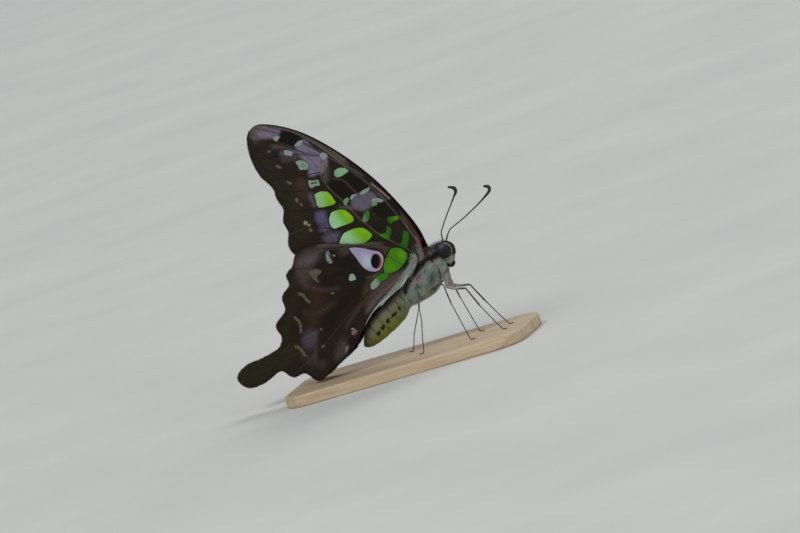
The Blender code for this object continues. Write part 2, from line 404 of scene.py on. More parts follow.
AXIS_POINT = (1.6, 13.9)      # on the body's axis
AXIS_SLOPE = math.radians(32)
FOREWING_Y = 0.45             # the fore wings' tips lie this far from the middle plane
WING_STEP = 0.75              # the hind wings lie this much further out
WING_FAN = 1.0                # the wings open towards their roots
WING_FAN_REACH = 20.0
WING_HUG = 1.75               # and pass round the body
WING_HUG_REACH = 5.0

FOREWING_ROOT = ((9.8, 22.9), (8.0, 21.8))
FOREWING_EDGE = [
    (10.2, 23.5), (9.8, 27.6), (7.9, 32.9), (4.1, 40.4), (-1.5, 48.1), (-8.0, 54.5), (-13.8, 57.9),
    (-17.3, 58.7), (-19.2, 57.1), (-20.0, 53.0), (-19.3, 48.4), (-17.4, 44.9), (-17.3, 42.5),
    (-16.6, 39.9), (-17.5, 37.4), (-17.1, 35.3), (-18.0, 32.1), (-17.1, 30.0), (-7.7, 26.5),
    (3.6, 22.9), (7.4, 21.9)]
HINDWING_ROOT = ((7.8, 22.6), (7.1, 20.9))
HINDWING_EDGE = [
    (7.8, 23.5), (5.9, 25.3), (1.7, 27.9), (-3.4, 28.6), (-12.0, 30.9), (-16.7, 30.3),
    (-18.4, 27.9), (-20.3, 26.4), (-20.3, 24.4), (-22.7, 22.1), (-22.8, 19.4), (-25.9, 16.7),
    (-25.4, 14.0), (-26.9, 11.9), (-31.5, 10.6), (-36.1, 9.8), (-37.6, 8.1), (-36.0, 5.8),
    (-32.3, 5.8), (-27.9, 7.3), (-25.6, 5.3), (-22.9, 5.5), (-20.0, 3.2), (-16.2, 4.9),
    (-12.1, 6.9), (-8.0, 10.4), (-4.2, 13.9), (0.6, 16.2), (3.9, 17.7), (6.4, 20.0)]

CELL = 0.2                    # spacing of the wings' points
OUTLINE_GAP = 0.18
VEIN_WIDTH = 0.11
MEMBRANE = 0.11               # thickness between the veins
PLEAT = 0.1                   # how far the membrane bulges between the veins
RIB_REACH = 1.7 * VEIN_WIDTH  # other points keep this far from a vein
EDGE_REACH = 0.5 * CELL       # and this far from the outline
NEAREST = 0.3 * CELL          # points closer than this are merged

# What is drawn on the butterfly is placed as if seen on the middle plane, from the right side
# and a little from ahead and above: a place that lies out by y shows this much of y back and down
SIDE_LEAN = (0.268, 0.109)


def wing_offset(x, z, step):
    """How far a wing lies from the middle plane, as in the solids."""
    slope, (axis_x, axis_z) = AXIS_SLOPE, AXIS_POINT
    above = (z - axis_z) * math.cos(slope) - (x - axis_x) * math.sin(slope)
    fan = WING_FAN * np.exp(-np.maximum(above, 0.0) / WING_FAN_REACH)
    hug = WING_HUG * np.exp(-(above / WING_HUG_REACH) ** 2)
    return FOREWING_Y + step + fan + hug


def onto_wing(points, step):
    """Moves points from the middle plane out along the view to a wing."""
    points = np.asarray(points, dtype=float)
    reach = wing_offset(points[:, 0], points[:, 1], step)
    return points + reach[:, None] * np.array(SIDE_LEAN)


# Veins: points from the root outwards, height, share of light scales (below 0: dark)
FOREWING_VEINS = [
    ([(9.0, 25.0), (6.8, 31.3), (3.4, 38.4), (0.2, 43.4), (-4.5, 48.5)], 0.12, 0.6),
    ([(8.3, 22.3), (5.0, 25.5), (1.5, 29.0), (-0.5, 31.8), (-2.2, 34.6), (-4.0, 38.3),
        (-5.7, 41.0), (-6.8, 44.3)], 0.12, 0.8),
    ([(-4.5, 48.5), (-6.2, 46.6), (-6.8, 44.3)], 0.05, 0.7),
    ([(-0.3, 31.5), (-1.9, 32.4), (-5.8, 32.6), (-14.0, 34.9), (-17.1, 34.9)], 0.06, -0.9),
    ([(-3.7, 37.2), (-7.0, 37.4), (-9.5, 37.9), (-15.6, 39.3), (-16.8, 39.5)], 0.06, -0.9),
    ([(-6.2, 42.3), (-8.0, 42.0), (-13.0, 42.9), (-17.2, 43.9)], 0.06, -0.9),
    ([(-6.7, 45.3), (-9.0, 45.5), (-14.0, 46.1), (-18.6, 46.7)], 0.06, -0.85),
    ([(-4.7, 48.3), (-7.9, 49.5), (-10.0, 50.3), (-14.0, 51.0), (-19.9, 52.0)], 0.06, -0.9),
    ([(-7.9, 49.5), (-10.5, 51.6), (-13.6, 53.7), (-19.5, 56.1)], 0.06, -0.85),
    ([(-6.5, 50.6), (-9.5, 53.3), (-13.0, 55.9), (-17.3, 58.1)], 0.06, -0.9),
    ([(-4.5, 48.5), (-6.5, 50.6), (-9.5, 54.0), (-12.6, 56.6), (-14.4, 57.8)], 0.06, -0.85),
    ([(2.0, 42.0), (-1.5, 46.0), (-6.0, 51.5), (-9.4, 54.6)], 0.07, 0.7),
    ([(8.4, 22.3), (4.0, 24.3), (-5.0, 27.0), (-13.0, 29.6), (-17.0, 31.0)], 0.07, -0.4)]
HINDWING_VEINS = [
    ([(7.2, 22.2), (4.9, 24.4), (1.4, 26.2), (-5.5, 27.9), (-12.0, 29.2), (-18.3, 27.9)], 0.08,
        0.3),
    ([(7.0, 22.0), (3.8, 23.0), (0.6, 23.6), (-2.0, 21.0), (-6.6, 20.5)], 0.05, 0.25),
    ([(-0.2, 24.3), (-5.0, 24.6), (-11.5, 25.6), (-18.3, 26.9), (-20.2, 26.2)], 0.06, -0.5),
    ([(-1.4, 21.6), (-6.6, 22.9), (-12.4, 23.0), (-22.5, 21.9)], 0.06, -0.5),
    ([(-3.0, 20.7), (-9.0, 20.1), (-16.0, 18.0), (-25.7, 16.5)], 0.06, -0.4),
    ([(-3.6, 19.6), (-9.5, 17.4), (-17.0, 14.0), (-26.7, 11.8), (-36.3, 7.9)], 0.07, -0.5),
    ([(6.8, 21.5), (2.2, 19.6), (-3.4, 17.9), (-10.0, 14.6), (-18.0, 9.6), (-25.4, 5.7)], 0.07,
        0.14),
    ([(2.2, 19.6), (-3.0, 16.6), (-9.0, 12.4), (-14.5, 8.6), (-20.0, 3.6)], 0.06, -0.4),
    ([(6.6, 21.0), (2.0, 18.0), (-4.0, 14.9), (-9.0, 10.9)], 0.05, -0.3)]


class Wing:
    """One kind of wing laid flat: its points, its triangles and its veins."""

    def __init__(self, edge, root, step, veins):
        self.step = step
        self.margin = spaced(smooth(edge, 12), OUTLINE_GAP)
        back = spaced([edge[-1], root[1], root[0], edge[0]], OUTLINE_GAP)[1:-1]
        self.outline = np.vstack((self.margin, back))
        self.veins = [(spaced(smooth(onto_wing(line, step), 8), OUTLINE_GAP), high, tint)
                      for line, high, tint in veins]
        self.points, self.faces = self.fill(self.inner_points())

    def inner_points(self):
        """Evenly spread points, with rows of their own along each vein."""
        low, high = self.outline.min(0), self.outline.max(0)
        rows = np.arange(low[1], high[1], CELL * math.sqrt(3) / 2)
        grid = []
        for index, z in enumerate(rows):
            xs = np.arange(low[0] + (index % 2) * CELL / 2, high[0], CELL)
            grid.append(np.column_stack((xs, np.full(len(xs), z))))
        grid = np.vstack(grid)
        ribs = []
        for line, _, _ in self.veins:
            run = unit(np.gradient(line, axis=0))
            beside = square_to(run) * VEIN_WIDTH
            ribs.extend((line, line + beside, line - beside))
            gap, _ = line_distance(grid, line)
            grid = grid[gap > RIB_REACH]
        kept = np.vstack([grid] + ribs)
        gap, _ = line_distance(kept, ringed(self.outline))
        kept = kept[(gap > EDGE_REACH) & inside(kept, self.outline)]
        _, first = np.unique(np.round(kept / NEAREST), axis=0, return_index=True)
        return kept[np.sort(first)]

    def fill(self, inner):
        """Triangles between the points, inside the outline."""
        points = [Vector(point) for point in np.vstack((self.outline, inner))]
        count = len(self.outline)
        ring = [(i, (i + 1) % count) for i in range(count)]
        found = delaunay_2d_cdt(points, ring, [], 1, 1e-5, False)
        places, faces = np.array([tuple(point) for point in found[0]]), np.array(found[2])
        return places, faces[inside(places[faces].mean(1), self.outline)]


# ---------------------------------------------------------------- meshes

def add_mesh(name, points, faces, material, attributes=(), uv=None):
    """A mesh piece from points in millimetres, riding on the butterfly.

    attributes holds (name, type, values for each point); uv holds a place for each point.
    """
    mesh = bpy.data.meshes.new(name)
    mesh.from_pydata(np.asarray(points) * MM, [], faces)
    mesh.materials.append(material)
    mesh.shade_smooth()
    fields = {"FLOAT": "value", "FLOAT_COLOR": "color", "FLOAT_VECTOR": "vector"}
    for label, kind, values in attributes:
        layer = mesh.attributes.new(label, kind, "POINT")
        layer.data.foreach_set(fields[kind], np.asarray(values, np.float32).ravel())
    if uv is not None:
        corner = np.zeros(len(mesh.loops), np.int32)
        mesh.loops.foreach_get("vertex_index", corner)
        layer = mesh.uv_layers.new(name="OFBake")
        layer.uv.foreach_set("vector", np.asarray(uv, np.float32)[corner].ravel())
    piece = add_object(name, mesh)
    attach(piece, "root")
    return piece


def add_tinted(name, points, faces, material, tint, uv=None):
    """A mesh piece with a colour for each point."""
    return add_mesh(name, points, faces, material, [("tint", "FLOAT_COLOR", tint)], uv)


# ---------------------------------------------------------------- markings

GROUND_FORE = srgb(42, 34, 23)
GROUND_HIND = srgb(38, 29, 18)
UPPER_GROUND = srgb(26, 22, 20)
OLIVE = srgb(46, 42, 25)
BLACK = srgb(20, 15, 10)
BROWN = srgb(90, 69, 55)
MAUVE = srgb(112, 98, 96)
GREY_BROWN = srgb(92, 84, 76)
COSTA_BROWN = srgb(86, 82, 66)
COSTA_GREY = srgb(140, 130, 126)
COSTA_PINK = srgb(206, 178, 176)
LEAF_GREEN = srgb(118, 190, 12)
WING_GREEN = srgb(64, 138, 2)
DEEP_GREEN = srgb(44, 104, 20)
HIGHLIGHT_GREEN = srgb(160, 204, 18)
UPPER_GREEN = srgb(104, 196, 60)
MINT = srgb(166, 216, 164)
LEAF_MINT = srgb(156, 202, 132)
PALE_MINT = srgb(140, 162, 144)
PALE = srgb(148, 158, 158)
GREY_DOT = srgb(124, 120, 108)
DIM_DOT = srgb(104, 98, 84)
LILAC = srgb(133, 124, 148)
VIOLET = srgb(100, 90, 126)
DARK_SEAM = srgb(52, 46, 46)
PALE_LILAC = srgb(172, 160, 194)
ICE = srgb(186, 204, 212)
ROSE = srgb(196, 112, 116)
RED = srgb(140, 50, 54)
DARK_RED = srgb(104, 44, 50)
PINK = srgb(206, 168, 176)
DULL_PINK = srgb(140, 104, 112)
SPOT_GREEN = srgb(104, 160, 100)
PALE_DOT = srgb(150, 148, 128)
CRESCENT = srgb(92, 92, 72)
SILVER = srgb(146, 156, 146)
MINT_HIGHLIGHT = srgb(184, 208, 194)
TEAL = srgb(110, 168, 148)

CORNER_CUT = 0.14             # of a side's length
FAR = 3.0                     # no distance to a mark counts beyond this


def rounded(points):
    """A closed outline with its corners cut twice."""
    ring = np.asarray(points, dtype=float)
    for _ in range(2):
        ahead = np.roll(ring, -1, axis=0)
        ring = np.stack((ring + (ahead - ring) * CORNER_CUT,
                         ahead + (ring - ahead) * CORNER_CUT), 1)
        ring = ring.reshape(-1, 2)
    return ring


def blotch(points):
    """A closed shape with slightly rounded corners."""
    def distance(places, step):
        return patch_distance(places, rounded(onto_wing(points, step)))
    return distance


def oval(centre, radii, lean=0.0):
    """An oval; lean in degrees turns it from +X towards +Z."""
    def distance(places, step):
        return oval_distance(places, onto_wing([centre], step)[0], radii, lean)
    return distance


def stroke(points, width):
    """A line with round ends."""
    def distance(places, step):
        line = onto_wing(points, step)
        curve = smooth(line, 4) if len(line) > 2 else line
        return line_distance(places, curve)[0] - width / 2
    return distance


# Each mark: its shape and colour, then another colour and where it fades from one to the other
FOREWING_MARKS = [
    (blotch([(-5.9, 31.5), (-3.9, 31.8), (-2.3, 31.7), (-1.3, 31.3), (-0.5, 30.3), (0.0, 29.3),
        (-1.0, 28.6), (-2.1, 28.2), (-3.1, 28.2), (-6.0, 29.1), (-7.6, 29.6), (-6.8, 30.6)]),
        LEAF_GREEN, MINT, (-2.4, 30.6), (-5.4, 29.2)),
    (blotch([(-7.1, 36.5), (-5.4, 36.6), (-4.1, 36.2), (-3.2, 35.0), (-2.8, 34.1), (-3.0, 33.3),
        (-3.9, 33.1), (-6.2, 33.0), (-7.5, 32.9), (-8.1, 33.5), (-8.1, 35.1)]), LEAF_GREEN, MINT,
        (-4.6, 35.1), (-7.1, 34.2)),
    (blotch([(-9.5, 41.1), (-8.1, 41.4), (-6.5, 41.0), (-5.9, 39.9), (-5.4, 38.2), (-6.0, 37.9),
        (-7.1, 37.9), (-9.2, 38.1), (-9.6, 38.7), (-9.4, 40.0)]), LEAF_GREEN, LEAF_MINT,
        (-6.4, 39.3), (-8.7, 39.9)),
    (blotch([(-3.6, 44.8), (-2.6, 45.1), (-1.2, 44.7), (-0.6, 43.8), (-2.1, 43.3), (-3.3, 43.1),
        (-4.0, 43.8)]), srgb(142, 188, 142), PALE_MINT, (-2.6, 44.2), (-4.0, 44.0)),
    (blotch([(-1.2, 32.8), (-0.5, 34.1), (0.5, 34.9), (1.0, 34.2), (0.5, 32.9), (-0.4, 32.3)]),
        srgb(62, 116, 34), PALE_MINT, (0.5, 33.4), (-2.0, 32.8)),
    (blotch([(4.1, 31.8), (4.6, 32.1), (6.5, 31.8), (6.6, 31.1), (6.0, 30.9), (5.2, 30.9),
        (4.8, 30.5), (4.2, 30.9)]), DEEP_GREEN, LEAF_GREEN, (4.0, 31.0), (9.0, 31.0)),
    (blotch([(1.3, 29.1), (2.4, 29.0), (2.9, 29.0), (3.6, 30.4), (4.4, 29.7), (3.9, 28.4),
        (3.1, 27.2), (1.9, 28.2)]), DEEP_GREEN, LEAF_GREEN, (4.0, 28.0), (-2.0, 28.0)),
    (blotch([(6.7, 28.5), (7.7, 27.9), (7.3, 26.2), (5.9, 24.1), (4.5, 24.8), (4.8, 25.8),
        (5.7, 26.3), (6.2, 27.4)]), DEEP_GREEN, LEAF_GREEN, (6.0, 26.0), (6.0, 14.0))]
# Tints on the marks: colour, shape, softness of its edge, strength
FOREWING_TINTS = [
    # The yellow-green ovals at the upper right of the three green marks are painted highlights
    (HIGHLIGHT_GREEN, oval((-1.9, 30.8), (1.1, 0.6), -20.0), 0.7, 0.3),
    (HIGHLIGHT_GREEN, oval((-3.9, 35.0), (0.6, 1.1), 30.0), 0.6, 0.8),
    (HIGHLIGHT_GREEN, oval((-6.3, 39.6), (0.5, 1.3), 20.0), 0.6, 0.8)]
# Strewn pale scales: colour, shape, softness, and how densely they lie at most
FOREWING_FLECKS = [
    (PALE_MINT, blotch([(-9.7, 44.5), (-9.0, 44.1), (-7.5, 43.9), (-7.6, 42.6), (-8.6, 42.8),
        (-9.7, 42.5), (-9.9, 43.5)]), 0.2, 0.9),
    (PALE, blotch([(-11.2, 49.0), (-10.0, 49.0), (-9.2, 48.5), (-8.5, 47.6), (-9.1, 46.6),
        (-10.8, 47.0), (-10.9, 48.0)]), 0.1, 0.97),
    (SPOT_GREEN, blotch([(-10.5, 48.1), (-9.6, 48.3), (-8.9, 47.5), (-9.3, 47.0), (-10.5, 47.3)]),
        0.15, 1.0),
    (PALE, blotch([(-12.9, 51.9), (-12.0, 51.8), (-11.0, 51.1), (-11.4, 50.3), (-12.9, 50.9)]),
        0.2, 0.9),
    (PALE_MINT, blotch([(-14.3, 55.2), (-13.3, 55.4), (-12.6, 54.9), (-13.2, 54.5), (-13.6, 54.1),
        (-14.2, 54.7)]), 0.2, 0.9),
    (PALE, blotch([(-10.4, 52.1), (-9.4, 53.1), (-8.3, 53.1), (-8.1, 52.6), (-9.1, 51.9)]), 0.15,
        0.9),
    (PALE, blotch([(-5.7, 49.1), (-4.6, 49.2), (-3.9, 48.3), (-4.6, 47.5), (-5.5, 47.9)]), 0.2,
        0.85),
    (PALE_MINT, blotch([(-0.2, 38.4), (0.7, 39.0), (1.7, 39.2), (2.8, 39.3), (2.2, 38.6),
        (1.0, 38.2)]), 0.12, 0.95),
    (PALE, blotch([(-2.2, 38.3), (-1.6, 38.8), (-0.3, 38.7), (-1.2, 38.2), (-2.0, 37.7)]), 0.12,
        0.95),
    (SPOT_GREEN, blotch([(-3.8, 38.1), (-3.0, 38.6), (-2.3, 38.2), (-2.8, 37.6), (-3.6, 36.9),
        (-3.9, 37.4)]), 0.15, 0.9),
    (PALE_MINT, blotch([(2.0, 36.2), (2.3, 36.7), (3.5, 36.7), (4.7, 35.8), (4.2, 35.4),
        (2.9, 35.9)]), 0.1, 0.95),
    (SPOT_GREEN, blotch([(1.7, 35.2), (2.1, 36.1), (3.2, 35.6), (3.0, 35.2)]), 0.15, 0.85),
    (PALE, stroke([(0.7, 27.1), (1.7, 26.8)], 0.45), 0.12, 0.9),
    (DIM_DOT, oval((-15.9, 52.6), (0.6, 0.45)), 0.5, 0.64),
    (DIM_DOT, oval((-14.9, 48.9), (0.95, 0.45), -40.0), 0.5, 0.66),
    (DIM_DOT, oval((-13.8, 45.0), (0.9, 0.5), -40.0), 0.5, 0.66),
    (DIM_DOT, oval((-13.4, 41.0), (0.5, 0.65)), 0.5, 0.68),
    (DIM_DOT, oval((-12.8, 39.9), (0.45, 0.5), 30.0), 0.5, 0.66),
    (PALE_DOT, oval((-13.1, 35.8), (0.55, 0.6), 15.0), 0.5, 0.72),
    (PALE_DOT, oval((-12.5, 35.2), (0.45, 0.35), 15.0), 0.4, 0.7),
    (DIM_DOT, oval((-12.6, 34.1), (0.5, 0.55), 20.0), 0.5, 0.68),
    (BLACK, oval((-9.0, 43.4), (0.8, 0.3)), 0.35, 0.6)]
# Darker spots over the marks, and pupils over the spots
FOREWING_SPOTS = [
    (oval((-9.05, 43.55), (0.32, 0.24)), srgb(56, 58, 40)),
    (oval((-8.35, 43.45), (0.3, 0.26)), srgb(40, 56, 34)),
    (blotch([(-12.3, 55.9), (-10.4, 55.5), (-9.4, 54.6), (-8.5, 54.0), (-8.0, 52.9), (-9.1, 53.0),
        (-10.1, 52.4), (-10.6, 52.1), (-12.0, 53.2), (-13.4, 54.0), (-12.9, 54.5), (-12.6, 54.8)]),
        srgb(20, 16, 11)),
    (stroke([(-3.6, 36.8), (-3.0, 36.5)], 0.2), DARK_RED),
    (oval((1.85, 33.6), (0.16, 0.26)), DARK_RED)]
HINDWING_MARKS = [
    (blotch([(-5.9, 28.2), (-4.2, 27.8), (-2.6, 27.1), (-1.2, 26.3), (0.3, 25.6), (0.8, 24.5),
        (0.5, 23.4), (-0.2, 22.3), (-1.0, 21.8), (-1.9, 21.7), (-3.2, 22.2), (-4.1, 23.2),
        (-4.6, 24.4), (-5.0, 25.8), (-5.5, 27.0)]), PALE_LILAC),
    (blotch([(3.0, 25.5), (4.0, 25.4), (5.1, 24.9), (5.8, 23.8), (5.8, 22.7), (4.8, 21.8),
        (3.7, 21.1), (2.9, 20.6), (0.8, 20.5), (-0.1, 21.0), (0.1, 22.2), (0.8, 23.4), (1.8, 24.3),
        (2.3, 25.0)]), WING_GREEN),
    (blotch([(0.2, 20.8), (0.7, 20.0), (-0.2, 19.5), (-1.2, 19.4), (-2.0, 18.8), (-2.8, 18.3),
        (-4.0, 18.2), (-3.9, 19.2), (-3.3, 19.8), (-2.3, 20.4), (-1.5, 20.8), (-0.6, 21.0)]),
        srgb(56, 128, 18), PALE_MINT, (-1.6, 20.0), (-2.6, 19.6))]
HINDWING_TINTS = [
    (ICE, oval((-3.0, 24.3), (1.1, 1.4)), 0.9, 0.95),
    # a painted highlight at the upper right of the green mark
    (HIGHLIGHT_GREEN, oval((4.7, 23.6), (0.7, 0.8)), 0.7, 0.25),
    (LEAF_GREEN, oval((1.6, 21.7), (1.0, 0.7)), 0.7, 0.2),
    (PALE_LILAC, oval((-2.3, 22.3), (1.6, 0.5)), 0.5, 0.8),
    (PINK, stroke([(0.3, 25.3), (0.55, 24.2), (0.1, 23.0), (-0.8, 22.1)], 0.3), 0.25, 0.8)]
HINDWING_FLECKS = [
    (srgb(150, 178, 158), blotch([(-7.4, 22.7), (-6.8, 22.7), (-6.3, 22.0), (-6.5, 21.2),
        (-7.8, 21.3), (-8.0, 21.8)]), 0.1, 1.0),
    (PALE, blotch([(-11.0, 28.9), (-10.1, 29.0), (-9.8, 28.4), (-10.2, 27.6), (-9.9, 26.6),
        (-10.2, 25.8), (-11.0, 25.9), (-11.6, 26.7), (-11.5, 27.9)]), 0.8, 0.6),
    (SILVER, oval((-9.5, 27.5), (0.5, 0.6)), 0.4, 0.5),
    (SILVER, oval((-9.2, 26.2), (0.4, 0.3)), 0.3, 0.45),
    (CRESCENT, blotch([(-15.7, 25.9), (-14.1, 25.9), (-13.0, 25.2), (-13.3, 24.6), (-14.3, 24.4),
        (-14.5, 23.5), (-14.1, 22.6), (-15.0, 23.2), (-15.6, 24.2), (-15.9, 25.1)]), 0.35, 0.8),
    (CRESCENT, stroke([(-19.2, 21.7), (-18.6, 21.3), (-18.2, 20.2), (-17.8, 19.5)], 0.8), 0.4,
        0.76),
    (CRESCENT, stroke([(-21.8, 17.1), (-21.3, 16.3), (-21.2, 15.2), (-21.5, 13.9)], 0.75), 0.4,
        0.76),
    (CRESCENT, stroke([(-23.6, 11.2), (-22.8, 10.4), (-22.3, 8.9)], 0.75), 0.4, 0.78),
    (DULL_PINK, blotch([(-11.2, 10.9), (-10.1, 11.4), (-9.4, 10.7), (-10.3, 10.0), (-11.1, 9.9)]),
        0.5, 0.64),
    (PALE, oval((-10.5, 11.3), (0.6, 0.3), 20.0), 0.35, 0.62),
    (PALE, oval((-9.9, 10.3), (0.3, 0.3), 20.0), 0.3, 0.55),
    (GREY_DOT, blotch([(-13.3, 8.5), (-12.2, 8.3), (-12.7, 7.3), (-14.2, 6.3)]), 0.5, 0.6),
    (GREY_DOT, oval((-17.1, 13.2), (0.4, 0.6)), 0.4, 0.55),
    (GREY_DOT, oval((-12.3, 19.9), (0.55, 0.25)), 0.3, 0.7),
    (GREY_DOT, oval((-11.9, 20.9), (0.4, 0.2)), 0.3, 0.5),
    (CRESCENT, oval((-14.3, 17.2), (0.3, 0.7)), 0.4, 0.5),
    (CRESCENT, oval((-17.9, 9.6), (0.5, 0.4)), 0.35, 0.7),
    (GREY_DOT, oval((-8.3, 21.8), (0.9, 0.2)), 0.3, 0.4),
    (BLACK, oval((-5.1, 25.2), (0.35, 1.4)), 0.5, 0.6)]
HINDWING_SPOTS = [
    (stroke([(1.5, 24.4), (2.3, 23.6), (3.1, 22.7), (3.9, 21.9), (4.2, 21.2)], 0.26), BROWN),
    (blotch([(-1.0, 25.4), (-0.3, 25.3), (0.2, 24.4), (0.2, 23.4), (-0.5, 22.4), (-1.4, 22.1),
        (-2.0, 22.6), (-1.6, 23.7)]), RED),
    (blotch([(-7.4, 23.3), (-5.9, 23.0), (-4.8, 22.2), (-4.1, 21.5), (-4.5, 20.8), (-5.5, 20.3),
        (-6.5, 20.5), (-6.3, 21.4), (-6.6, 22.5)]), srgb(30, 24, 20)),
    (blotch([(-12.4, 9.7), (-11.4, 9.7), (-10.3, 9.2), (-11.2, 8.2), (-12.4, 8.3)]), BLACK)]
HINDWING_PUPILS = [
    (blotch([(-1.2, 25.4), (-0.5, 25.3), (-0.1, 24.7), (-0.2, 23.8), (-0.8, 22.7), (-1.6, 22.2),
        (-2.2, 22.8), (-2.3, 23.8), (-1.9, 24.7)]), srgb(8, 6, 6))]

